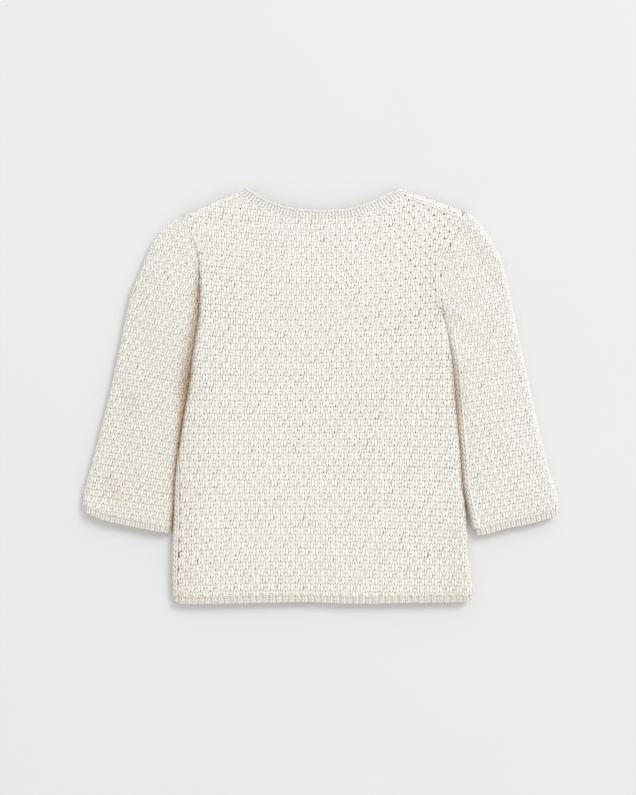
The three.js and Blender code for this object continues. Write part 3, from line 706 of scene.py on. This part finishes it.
# the upper of two short stitches that fill the place beside a V
LOW_LEG = [(5.28, 0.0, -0.36), (5.22, -1.45, -0.34), (5.28, -2.9, -0.36)]
LOW_RADII = [0.90, 1.52, 0.88]
LOW_STEP = 2.95  # the lower of the two is so far below it
LOW_EXTRA_SHADE = 0.02  # low stitches take so much more of the painted deep shade
FLATNESS = 0.44
RIB_FLATNESS = 0.34
# on the underside, one wide strand stands for a pair of low stitches
PLAIN_LINE = [(5.9, -0.4, -0.86), (5.9, -5.9, -0.88)]
PLAIN_RADII = [1.3, 1.3]
PLAIN_FLATNESS = 0.62


def pair(leg, radii, centre, sides, lean=0.0, flatness=FLATNESS):
    """A strand and its mirror image, with their feet leaning sideways."""
    foot = leg[-1][1]
    both = [leg, [(2 * centre - x, y, z) for x, y, z in leg]]
    leant = [[(x + lean * (y / foot) ** 2, y, z) for x, y, z in line] for line in both]
    return join_strands([strand(line, radii, flatness, sides) for line in leant])


def merge_patterns(patterns):
    """Several pattern pieces as one: a list of end faces joined behind a list of quads."""
    starts = np.cumsum([0] + [len(p[0]) for p in patterns[:-1]])
    faces = [np.vstack([p[1][k] + start for p, start in zip(patterns, starts)]) for k in (0, 1)]
    return np.vstack([p[0] for p in patterns]), faces, np.concatenate([p[2] for p in patterns])


def rib_stitch(half_gap, radius, height, taper=0.85, flare=0.2, reach=1.4, flatness=RIB_FLATNESS):
    """Two nearly upright strands, a V of one rib wale."""
    leg = [
        (half_gap * (1 + flare), height * 0.25, -0.62),
        (half_gap * (1 + flare / 2), -height * 0.3, -0.36),
        (half_gap * (1 - flare / 2), -height * 0.8, -0.38),
        (half_gap * (1 - 2 * flare), -height * reach, -0.66),
    ]
    radii = [radius * taper, radius, radius, radius * taper]
    return pair(leg, radii, 0, 5, flatness=flatness)


v_stitch = pair(V_LEG, V_RADII, V_CENTRE, 5, V_LEAN)
lower_leg = [(x, y - LOW_STEP, z) for x, y, z in LOW_LEG]
low_stitch = merge_patterns([pair(leg, LOW_RADII, LOW_CENTRE, 4) for leg in (LOW_LEG, lower_leg)])
plain_v = pair(V_LEG[::2], V_RADII[::2], V_CENTRE, 4, V_LEAN)
plain_low = join_strands([strand(PLAIN_LINE, PLAIN_RADII, PLAIN_FLATNESS, 4)])

# %% How stitches are laid on a piece
STITCH_SEED = 7
JITTER = (0.07, 0.10, 0.05)  # millimetres across, along and up
SIZE_SPREAD = 0.025
# from the first height down to the second, strands take more and more of the painted deep shade
DEPTH_TOP = -0.15
DEPTH_BOTTOM = -1.5
TABLE_CLEARANCE = 0.05
CREASE_ON_TOP = 0.62  # share of a crease's painted brown shade that the tops of its stitches take
CREASE_BELOW = 1.5  # and how much more of it their deep parts take


def lay(tube, pattern, across, along, scale, limits, seed, lift=0.0, turned=None, deeper=0.0):
    """Points, faces, depths, twists and creases of one pattern piece repeated at many places.
    Each copy is scaled to its cell, nudged a little, turned by its angle if it has one, kept
    within the panel and bent over it."""
    shape, faces, twist = pattern
    noise = np.random.default_rng(seed)
    nudge = noise.normal(size=(len(across), 1, 3)) * JITTER
    size = 1 + noise.normal(size=(len(across), 1, 1)) * SIZE_SPREAD
    local = shape[None] * scale[:, None] * size + nudge
    local[..., 2] += lift
    if turned is not None:
        u, v = local[..., 0].copy(), local[..., 1].copy()
        cosine, sine = np.cos(turned)[:, None], np.sin(turned)[:, None]
        local[..., 0], local[..., 1] = u * cosine + v * sine, v * cosine - u * sine
    a, b = limits(across[:, None] + local[..., 0], along[:, None] + local[..., 1])
    hidden = tube.crevice(a, b)
    points = tube.lifted(a, b, local[..., 2]).reshape(-1, 3)
    points[:, 2] = np.maximum(points[:, 2], TABLE_CLEARANCE)
    count, base = len(across), np.arange(len(across)) * len(shape)
    laid = [(f[None] + base[:, None, None]).reshape(-1, f.shape[1]) for f in faces]
    # how deep a point lies sets its share of the painted deep shade
    depth = np.clip((DEPTH_TOP - local[..., 2]) / (DEPTH_TOP - DEPTH_BOTTOM), 0, 1).ravel()
    # the listed places add painted shade, or painted light where their share is less than 0
    depth = np.clip(depth + deeper + bells(PAINTED_SHADE_PLACES, points[:, 0], points[:, 1]), 0, 1)
    hidden = hidden.ravel() * np.clip(CREASE_ON_TOP + CREASE_BELOW * depth, 0, 1)
    return points, laid, depth, np.tile(twist, count), hidden


def gather(batches):
    """Several batches of laid stitches as one set of arrays."""
    batches = [b for b in batches if len(b[0])]
    points = np.vstack([b[0] for b in batches])
    starts = np.cumsum([0] + [len(b[0]) for b in batches[:-1]])
    faces = [f + start for b, start in zip(batches, starts) for f in b[1]]
    return points, faces, *(np.concatenate([b[k] for b in batches]) for k in (2, 3, 4))


def brick_places(rows, across_range, width):
    """Corners of the cells of a brick pattern: each next row is moved by half a cell."""
    count = int((across_range[1] - across_range[0]) / width) + 2
    columns = across_range[0] + np.arange(count) * width
    across = columns[None] + (np.arange(len(rows)) % 2)[:, None] * width / 2
    return across, np.broadcast_to(rows[:, None], across.shape)


# %% Panels of the body: what is inside each
EDGE_MARGIN = 0.1
SEAM_OVERLAP = 1.0  # the lowest stitches reach over a trim's seam by so much


def panel_limits(low, high, bottom, top, tube=body):
    """A function that keeps places within a panel's seams and its lower and upper edges."""
    reach = (-167, 168) if tube is body else (-12, tube.top)

    def keep(across, along):
        along = np.clip(along, *reach)
        for _ in range(2):
            flat, _turn = tube.flat_place(across, along)
            along = np.clip(along, bottom(flat) + EDGE_MARGIN, top(flat) - EDGE_MARGIN)
            across = np.clip(across, low(along) + EDGE_MARGIN, high(along) - EDGE_MARGIN)
        return across, along
    return keep


def inside(keep, across, along, reach=(1.3, 2.2)):
    """Which places lie inside a panel, or at most so far outside across and along."""
    kept_across, kept_along = keep(across, along)
    return (np.abs(kept_across - across) < reach[0]) & (np.abs(kept_along - along) < reach[1])


def seam_on_left(y):
    """Distance across to the left side seam, which lies on the back low down."""
    degrees = curve_through(LEFT_SEAM_TURN, y)
    low, _high, low_round, _high_round = body.folds(y)
    return low - FOLD_RADIUS * np.radians(degrees) * low_round


def seam_on_right(y):
    return body.edge(y, 1, 90)


def band_on_left(y):
    """Distance across, measured over the left fold and along below, to the left front's band."""
    low, _high, low_round, _high_round = body.folds(y)
    return low - np.pi * FOLD_RADIUS * low_round - (BAND_LEFT - SEAM_GAP - low)


def band_on_right(y):
    _low, high, _low_round, high_round = body.folds(y)
    return high + np.pi * FOLD_RADIUS * high_round + (high - BAND_RIGHT - SEAM_GAP)


PANELS = {
    "back": (seam_on_left, seam_on_right, back_top),
    "front_left": (band_on_left, seam_on_left, front_top),
    "front_right": (seam_on_right, band_on_right, front_top),
}

# %% [markdown]
# ## Back and fronts
# The wales, the columns of stitches, run from hem to shoulder 4 mm apart. The rows lie closer
# towards the neck, and neither runs quite straight, because the cloth was patted flat by hand.
# The same pattern goes on round the folds to the fronts, with plainer strands where it lies on
# the table.

# %% Rows that close up towards the neck
ROW_PITCH = np.array([(-170, 5.8), (-120, 5.6), (-44, 5.26), (36, 4.88), (106, 4.76), (170, 4.7)])
ROW_BOW = np.array([
    (-168, -0.0003), (-120, -0.00087), (-44, -0.00054), (0, 0.0001), (36, 0.00073), (106, 0.00195),
    (150, 0.0022),
])
FIRST_ROW = -161.5
LAST_ROW = 180
BOW_MIDDLE = -10
BOW_REACH = 70
UNDERSIDE_TURN = np.radians(150)
PLAIN_LIFT = -0.35  # strands on the underside stay clear of the table


def rows_between(bottom, top, pitch):
    """Heights of the rows: each next one is higher by the pitch at the last."""
    rows = [bottom]
    while rows[-1] < top:
        rows.append(rows[-1] + float(pitch(rows[-1])))
    return np.array(rows)


def waves(across, along):
    """How far hand-laid rows and wales wander: low sine waves over the cloth."""
    aside = 0.9 * np.sin(along / 41 + across / 90) + 0.5 * np.sin(along / 17 + 1)
    return across + aside, along + 0.6 * np.sin(across / 33 + along / 60)


def bowed(across, along):
    """Waves, and rows that sag in the middle near the neck and rise there near the hem, as
    hyperbolas whose bend depends on the height."""
    away = (across - BOW_MIDDLE) / BOW_REACH
    bow = curve_through(ROW_BOW, along) * BOW_REACH**2 * (np.sqrt(1 + away**2) - 1)
    return waves(across, along + bow)


def knit(tube, keep, rows, pitch, across_range, width, seed, wander=waves):
    """The stitches of one panel: large and low ones where it shows, plain ones where it lies
    on the table."""
    across, along = brick_places(rows, across_range, width)
    high = np.broadcast_to(pitch(rows)[:, None] / ROW_HEIGHT, across.shape)
    across, along, high = across.ravel(), along.ravel(), high.ravel()
    across, along = wander(across, along)
    wide = width / CELL_WIDTH
    laid = {}
    for name, centre, shown, plain in (
        ("v", (V_CENTRE, -2.9), v_stitch, plain_v), ("low", (LOW_CENTRE, -2.8), low_stitch, plain_low)
    ):
        middle = (across + centre[0] * wide, along + centre[1] * high)
        kept = inside(keep, *middle)
        turn = tube.flat_place(*keep(*middle))[1]
        on_top = turn < UNDERSIDE_TURN
        for label, chosen, pattern in (
            (name, kept & on_top, shown), (name + "_plain", kept & ~on_top, plain)
        ):
            ones = np.ones(chosen.sum())
            scale = np.stack([wide * ones, high[chosen], ones], -1)
            lift = PLAIN_LIFT if pattern is plain else 0.0
            laid[label] = lay(
                tube, pattern, across[chosen], along[chosen], scale, keep, seed + len(laid), lift,
                deeper=LOW_EXTRA_SHADE if name == "low" else 0.0,
            )
    return laid


# %% Seams: chains of V stitches along a line
CHAIN_SHAPE = (0.5, 1.12, 0.75)  # spread of the legs, their length in pitches, and their roundness


def chain(tube, line, keep, pitch, half_gap, radius, seed, lift=0.0, taper=0.5):
    """A column of V stitches along a line of (across, along), each turned to the line there."""
    lengths = np.append(0, np.cumsum(np.linalg.norm(np.diff(line, axis=0), axis=1)))
    places = np.arange(pitch, lengths[-1], pitch)
    across, along = (np.interp(places, lengths, line[:, k]) for k in (0, 1))
    before = [np.interp(places - pitch, lengths, line[:, k]) for k in (0, 1)]
    turned = np.arctan2(across - before[0], along - before[1])
    stitch = rib_stitch(half_gap, radius, pitch, taper, *CHAIN_SHAPE)
    return lay(tube, stitch, across, along, np.ones((len(across), 3)), keep, seed, lift, turned)


def line_up(across, start, end, step=4):
    """Points of a line up a tube, its place across given by the distance along."""
    along = np.arange(start, end, step, dtype=float)
    return np.stack([across(along), along], 1)


def below_shoulder(shoulder, first, last, under):
    """A line that runs so far under a shoulder's fold."""
    x = np.linspace(first, last, 14)
    return np.stack([x, curve_through(shoulder, x) - under], 1)


SEAM_CHAIN = (4.0, 0.95, 0.80)  # pitch, half gap and radius of a seam's stitches
CHAIN_LIFT = 0.7  # a seam's ridge stands up over the knitting by so much
WRAP_SEAM = [line_up(lambda y, k=k: seam_on_left(y) - k, -160, -38) for k in (1.9, 5.4)]
ARMHOLE_SEAM = line_up(lambda y: right_edge(y) - 2.1, RIGHT_UNDERARM + 4, 148)
SHOULDER_SEAM = below_shoulder(RIGHT_SHOULDER, 70, 110, 4.6)
BODY_SEAMS = {"back": [ARMHOLE_SEAM, SHOULDER_SEAM], "front_left": WRAP_SEAM, "front_right": []}

# %% Stitches of the body
body_pitch = lambda y: curve_through(ROW_PITCH, y)
body_rows = rows_between(FIRST_ROW, LAST_ROW, body_pitch)
above_hem = lambda x: hem_seam(x) - SEAM_OVERLAP
body_keep = {
    name: panel_limits(low, high, above_hem, top) for name, (low, high, top) in PANELS.items()
}
body_range = {"back": (-130, 132), "front_left": (-245, -90), "front_right": (90, 245)}
body_laid = {
    name: knit(
        body, body_keep[name], body_rows, body_pitch, body_range[name], CELL_WIDTH, STITCH_SEED + i,
        bowed,
    )
    for i, name in enumerate(PANELS)
}
for name, lines in BODY_SEAMS.items():
    for k, line in enumerate(lines):
        body_laid[name][f"seam_{k}"] = chain(
            body, line, body_keep[name], *SEAM_CHAIN, STITCH_SEED + 30 + k, CHAIN_LIFT
        )


# %% A shell of cloth behind the stitches
KNIT_SHELL = (-1.35, -2.45, 1.0)  # heights of its two sides, and its share of the painted deep shade
RIB_SHELL = (-0.70, -2.0, 0.35)


def meet(low, high, line, shares, tube, start):
    """Distance along at which each column reaches a line, found by repeated steps."""
    along = np.full(len(shares), float(start))
    for _ in range(30):
        flat, _turn = tube.flat_place(low(along) + (high(along) - low(along)) * shares, along)
        along = line(flat)
    return along


def cloth_shell(name, tube, low, high, bottom, top, columns, rows, closer_above=1.6, rib=False):
    """A closed shell over a panel: columns by their share of its width, rows closer near the top."""
    shares = np.linspace(0, 1, columns)
    first = meet(low, high, bottom, shares, tube, -150)
    last = meet(low, high, top, shares, tube, 150)
    up = 1 - (1 - np.linspace(0, 1, rows)) ** closer_above
    along = first[None] + (last - first)[None] * up[:, None]
    across = low(along) + (high(along) - low(along)) * shares[None]
    outer, inner, depth = RIB_SHELL if rib else KNIT_SHELL
    outside = tube.lifted(across, along, np.full(across.shape, outer))
    inside_points = tube.lifted(across, along, np.full(across.shape, inner))
    points = np.concatenate([outside.reshape(-1, 3), inside_points.reshape(-1, 3)])
    hidden = np.tile(tube.crevice(across, along).ravel(), 2)
    return make_piece(name, points, [shell_faces(rows, columns)], depth, crevice=hidden)


pieces = {}
for name, (low, high, top) in PANELS.items():
    near_top = lambda x, top=top: top(x) - 0.4
    columns = 120 if name == "back" else 90
    pieces[name] = [cloth_shell(f"{name}_cloth", body, low, high, above_hem, near_top, columns, 60)]
    laid = body_laid[name]
    if name == "back":
        small = [k for k in laid if k.startswith(("low", "seam"))]
        groups = {"large_stitches": ["v"], "low_stitches": small}
    else:
        groups = {"stitches": list(laid)}
    for label, keys in groups.items():
        pieces[name].append(make_piece(f"{name}_{label}", *gather([laid[k] for k in keys])))

# %% [markdown]
# ## Sleeves
# Each sleeve is a flattened tube that tapers little, knitted in the same pattern with slightly
# smaller stitches, and its wales run along the arm. Its head is set into the armhole.

# %% Sleeves: shells and stitches
SLEEVE_CELL = {"left": 6.9, "right": 7.5}
SLEEVE_SEAMS = {"left": (), "right": (1.6, 5.1)}  # how far round the inner fold its chains lie
SLEEVE_PITCH = np.array([(-10, 5.3), (50, 5.1), (120, 4.75), (180, 4.6), (260, 4.6)])


def sleeve_limits(tube, underarm_side):
    """How far round a sleeve goes each way: to the middle below, or to its armhole seam above the
    underarm on that side."""
    underarm = min(tube.left_end, tube.right_end)

    def reach(along, side):
        low, high, low_round, high_round = tube.folds(along)
        set_in = soft_step((along - underarm - UNDERARM_REACH / 2) / 4 + 0.5)
        half_below = (high - low) / 2
        if side == underarm_side:
            round_it = np.pi * FOLD_RADIUS * (high_round if side > 0 else low_round) + half_below
            below = round_it * (1 - set_in)
        else:
            round_it = np.pi * FOLD_RADIUS * (low_round if side < 0 else high_round)
            below = round_it + half_below * (1 + set_in)
        return low - below if side < 0 else high + below

    return lambda along: reach(along, -1), lambda along: reach(along, 1)


sleeve_pitch = lambda along: curve_through(SLEEVE_PITCH, along)
for side, tube in sleeves.items():
    low, high = sleeve_limits(tube, 1 if side == "left" else -1)
    above_cuff = lambda off, tube=tube: tube.bottom(off) + CUFF_DEPTH - SEAM_OVERLAP
    sleeve_top = lambda off, tube=tube: np.full(np.shape(off), tube.top - 1.0)
    keep = panel_limits(low, high, above_cuff, sleeve_top, tube)
    rows = rows_between(-8, tube.top + 4, sleeve_pitch)
    seams = [line_up(lambda a, k=k: tube.folds(a)[0] - k, 4, 160) for k in SLEEVE_SEAMS[side]]
    laid = knit(
        tube, keep, rows, sleeve_pitch, (-88, 90), SLEEVE_CELL[side], STITCH_SEED + 20 + len(side),
    )
    for k, line in enumerate(seams):
        laid[f"seam_{k}"] = chain(tube, line, keep, *SEAM_CHAIN, STITCH_SEED + 36 + k, CHAIN_LIFT)
    name = f"sleeve_{side}"
    shell = cloth_shell(f"{name}_cloth", tube, low, high, above_cuff, sleeve_top, 100, 60, 1.2)
    pieces[name] = [shell, make_piece(f"{name}_stitches", *gather(list(laid.values())))]

# %% [markdown]
# ## Ribbed trims
# Hem, cuffs and neckband are ribbing: narrow wales of V stitches stand up, and the cloth between
# them sinks. Each wale is three stitches high.

# %% Rib stitches
RIB_ROWS = 3
NECK_LESS_SHADE = -0.4  # the neckband takes so much less of the painted deep shade, so it is painted lighter
RIB_OVERLAP = 0.5  # the trims' upper stitches run up over the seam by so much


def rib_places(first, last, pitch, bottom, depth, phase=0.5):
    """Middle of each rib stitch's top, in rows above a lower edge."""
    count = max(int(round((last - first) / pitch)), 1)
    across = first + (np.arange(count) + phase) * (last - first) / count
    rows = (np.arange(RIB_ROWS) + 1) / RIB_ROWS * depth
    across, rise = np.broadcast_arrays(across[None], rows[:, None])
    across, rise = across.ravel(), rise.ravel()
    return across, bottom(across) + rise


def knit_rib(tube, keep, first, last, pitch, bottom, depth, stitch, seed, deeper=0.0):
    """The rib stitches of one trim, row above row, with so much more of the painted deep shade."""
    across, along = rib_places(first, last, pitch, bottom, depth)
    return lay(tube, stitch, across, along, np.ones((len(across), 3)), keep, seed, deeper=deeper)


def make_trim(name, tube, low, high, bottom, top, columns, middle, pitch, depth, stitch, seed):
    """One ribbed trim: a shell between its two lines, and ribs all the way across it. The ribs
    are spread over the width that the trim has at the height of its middle."""
    keep = panel_limits(low, high, bottom, lambda off: top(off) + RIB_OVERLAP, tube)
    first, last = float(low(np.float64(middle))), float(high(np.float64(middle)))
    edge_below = lambda across: bottom(tube.flat_place(across, np.full(np.shape(across), middle))[0])
    shell = cloth_shell(f"{name}_cloth", tube, low, high, bottom, top, columns, 6, 1.0, True)
    laid = knit_rib(tube, keep, first, last, pitch, edge_below, depth, stitch, seed)
    return [shell, make_piece(f"{name}_ribs", *laid)]


# %% Hem, in three parts
HEM_RIB = 5.1
HEM_MIDDLE = -163.0
hem_stitch = rib_stitch(0.92, 1.0, HEM_DEPTH / RIB_ROWS)
HEMS = {"hem_back": "back", "hem_front_left": "front_left", "hem_front_right": "front_right"}
for i, (name, above) in enumerate(HEMS.items()):
    low, high, _top = PANELS[above]
    columns = 240 if name == "hem_back" else 120
    pieces[name] = make_trim(
        name, body, low, high, hem_bottom, hem_seam, columns, HEM_MIDDLE, HEM_RIB, HEM_DEPTH,
        hem_stitch, STITCH_SEED + 40 + i,
    )

# %% Cuffs
CUFF_RIB = 4.1
cuff_stitch = rib_stitch(0.80, 0.92, CUFF_DEPTH / RIB_ROWS)
for side, tube in sleeves.items():
    low, high = sleeve_limits(tube, 1 if side == "left" else -1)
    cuff_top = lambda off, tube=tube: tube.bottom(off) + CUFF_DEPTH
    name = f"cuff_{side}"
    pieces[name] = make_trim(
        name, tube, low, high, tube.bottom, cuff_top, 120, 0.0, CUFF_RIB, CUFF_DEPTH,
        cuff_stitch, STITCH_SEED + 50,
    )


# %% Neckband: from the left front's band round the back of the neck to the right front's
class Neckband:
    """A strip between its seam and its free edge, on top at the back and below at the fronts."""

    def __init__(self):
        back_seam = rounded_line(BACK_NECK[:, :2])
        back_edge = rounded_line(BACK_NECK[:, 2:])
        fine = np.linspace(0, 1, 100)
        row = lambda table: np.linspace(0, 1, len(table))
        straight = lambda table, k: np.interp(fine, row(table), table[:, k])
        left = np.stack([straight(LEFT_FRONT_NECK, k) for k in range(4)], 1)
        right = np.stack([straight(RIGHT_FRONT_NECK, k) for k in range(4)], 1)
        back = np.hstack([back_seam, back_edge])
        self.rows = np.vstack([left, back[1:-1], right])
        steps = np.hypot(*np.diff((self.rows[:, :2] + self.rows[:, 2:]) / 2, axis=0).T)
        self.length = np.append(0, np.cumsum(steps))
        self.corners = self.length[len(left) - 1], self.length[len(left) + len(back) - 2]
        self.depth = 7.1

    def surface(self, across, along):
        """Between seam and edge in plan, then up or down from mid height by the shoulder's rise."""
        x0, y0, x1, y1 = (np.interp(across, self.length, self.rows[:, k]) for k in range(4))
        up = along / self.depth
        x, y = x0 + (x1 - x0) * up, y0 + (y1 - y0) * up
        rise = shoulder_rise(x, y)
        below = (across < self.corners[0]) | (across > self.corners[1])
        z = np.where(below, MIDDLE * (1 - rise) + band_lift(x), MIDDLE * (1 + rise))
        return np.stack([x, y, z], axis=-1)

    lifted = Tube.lifted

    def crevice(self, across, along):
        """Nothing lies over the neckband."""
        return np.zeros_like(across)


neck = Neckband()
neck_stitch = rib_stitch(1.27, 1.22, neck.depth / RIB_ROWS)
NECK_RIB = 5.1
NECK_GRID = (5, 420)  # rows and columns of the neckband's shell
NECK_CHAIN = (3.0, 0.45, 0.72)  # pitch, half gap and radius of the stitches that bind its edge
NECK_CHAIN_LIFT = 0.15


def keep_on_neckband(across, along):
    return np.clip(across, 0.3, neck.length[-1] - 0.3), np.clip(along, -0.3, neck.depth - 0.1)


across = np.linspace(0.1, neck.length[-1] - 0.1, NECK_GRID[1])[None].repeat(NECK_GRID[0], 0)
along = np.linspace(0.2, neck.depth - 0.1, NECK_GRID[0])[:, None].repeat(NECK_GRID[1], 1)
neck_points = np.concatenate([
    neck.lifted(across, along, np.full(across.shape, h)).reshape(-1, 3) for h in RIB_SHELL[:2]
])
neck_shell = make_piece("neckband_cloth", neck_points, [shell_faces(*NECK_GRID)], 0.0)
laid = knit_rib(
    neck, keep_on_neckband, 0.5, neck.length[-1] - 0.5, NECK_RIB,
    lambda across: np.zeros(np.shape(across)), neck.depth, neck_stitch, STITCH_SEED + 60,
    NECK_LESS_SHADE,
)
edge_height = neck.depth - 0.75
edge = np.array([(1, edge_height), (neck.length[-1] - 1, edge_height)])
bound_edge = chain(
    neck, edge, keep_on_neckband, *NECK_CHAIN, STITCH_SEED + 61, NECK_CHAIN_LIFT
)
pieces["neckband"] = [neck_shell, make_piece("neckband_ribs", *gather([laid, bound_edge]))]

# %% [markdown]
# ## Front fastening
# The fronts close with two plain bands and five buttons, which lie under the garment. A band is a
# flat strip with rounded edges and a few wales of the same yarn. A button is turned, dished and
# has four holes.

# %% Button bands
BUTTON_THICKNESS = 1.4
BAND_LIFTS = {
    "button_band_right": BUTTON_THICKNESS + SEAM_GAP,
    "button_band_left": BUTTON_THICKNESS + BAND_THICKNESS + 2 * SEAM_GAP,
}
BAND_WALES = 6
BAND_WAVE = 0.16  # millimetres that a wale stands up
BAND_DEEP_SHADE = 0.25  # share of the painted deep shade in the bands
BAND_BOTTOM = float(curve_through(HEM_LINE, 0.0))


def band_strip(name, height):
    """A strip along Y. Its section is a rectangle rounded as a superellipse, and each wale is a
    wave across its two faces."""
    turns = np.linspace(0, 2 * np.pi, 97)[:-1]
    steps = np.linspace(BAND_BOTTOM, BAND_TOP, 90)
    half_width = (BAND_RIGHT - BAND_LEFT) / 2
    power = lambda v, p: np.sign(v) * np.abs(v) ** p
    x = half_width * power(np.cos(turns), 0.35)
    wave = BAND_WAVE * (1 - np.cos(np.pi * (x / half_width + 1) * BAND_WALES)) / 2
    z = (BAND_THICKNESS / 2 - BAND_WAVE + wave) * power(np.sin(turns), 0.35)
    x, y = np.broadcast_arrays(x[None], steps[:, None])
    z = np.broadcast_to(z[None], x.shape) + height + BAND_THICKNESS / 2
    points = np.stack([x + (BAND_LEFT + BAND_RIGHT) / 2, y, z], -1).reshape(-1, 3)
    around = np.arange(len(turns))
    ends = np.array([around, (len(steps) - 1) * len(turns) + around[::-1]])
    return make_piece(name, points, [tube_quads(len(steps), len(turns)), ends], BAND_DEEP_SHADE)


for name, height in BAND_LIFTS.items():
    pieces[name] = [band_strip(f"{name}_knit", height)]

# %% Buttons: moulded, cream, with a soft gloss
BUTTON_TOP_Y = 110
BUTTON_SPACING = 64
BUTTON_HOLE = (1.5, 0.75)  # distance of a hole from the middle, and its radius

moulded_button, button_shader = new_material("moulded_polyester_button")
button_shader.inputs["Roughness"].default_value = 0.32
button_shader.inputs["IOR"].default_value = 1.53
button_place = add_node(moulded_button, "ShaderNodeTexCoord")
button_clouds = add_node(
    moulded_button, "ShaderNodeTexNoise", Vector=button_place.outputs["Object"],
    Scale=1 / (3 * METRES), Detail=3.0,
)
button_tint = add_node(
    moulded_button, "ShaderNodeMix", {"data_type": "RGBA"}, Factor=button_clouds.outputs["Fac"],
    _6=linear("#E9DFCB"), _7=linear("#F3ECDC"),
)
link(moulded_button, button_tint.outputs[2], button_shader.inputs["Base Color"])


def button_points(centre_y):
    """A disc on rings and spokes: its lower face is dished inside a rim and sinks at four holes,
    its upper face is level, and both edges are rounded."""
    spokes = np.linspace(0, 2 * np.pi, 49)[:-1]
    below = np.array([0.02, 0.5, 0.9, 1.2, 1.5, 1.8, 2.1, 2.5, 3.0, 3.4, 3.8, 4.3, 4.9, 5.3, 5.5])
    radius = np.concatenate([below, [5.5, 5.3, 4.8, 3.0, 0.02]])
    dish = 0.35 * (1 - soft_step((below - 3.2) / 0.8)) + 0.45 * soft_step((below - 4.9) / 0.6)
    height = np.concatenate([dish, [0.95, 1.3, 1.4, 1.4, 1.4]])
    r, angle = np.broadcast_arrays(radius[:, None], spokes[None])
    z = np.broadcast_to(height[:, None], r.shape).copy()
    hole_angle = np.pi / 4 + np.round((angle - np.pi / 4) / (np.pi / 2)) * np.pi / 2
    away = np.hypot(
        r * np.cos(angle) - BUTTON_HOLE[0] * np.cos(hole_angle),
        r * np.sin(angle) - BUTTON_HOLE[0] * np.sin(hole_angle),
    )
    z[: len(below)] += 0.7 * soft_step((BUTTON_HOLE[1] - away[: len(below)]) / 0.3)
    x = r * np.cos(angle) + (BAND_LEFT + BAND_RIGHT) / 2
    y = r * np.sin(angle) + centre_y
    return np.stack([x, y, z], -1).reshape(-1, 3), len(radius), len(spokes)


for i in range(5):
    points, rings, spokes = button_points(BUTTON_TOP_Y - BUTTON_SPACING * i)
    around = np.arange(spokes)
    ends = np.array([around, (rings - 1) * spokes + around[::-1]])
    faces = [tube_quads(rings, spokes)[:, ::-1], ends]
    name = f"button_{i + 1}"
    pieces[name] = [make_piece(f"{name}_disc", points, faces, 0.0, material=moulded_button)]

# %% [markdown]
# ## What each piece stands for
# Every piece takes the place of the plain solid with the same name.

# %% Hide the plain solid that each piece takes the place of
RIBBED = ("hem", "cuff", "neckband")
for name, made in pieces.items():
    finish = "button" if name.startswith("button_") else "tuck_knit"
    finish = "band_knit" if name.startswith("button_band") else finish
    finish = "rib_knit" if name.startswith(RIBBED) else finish
    for piece in made:
        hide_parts(name)
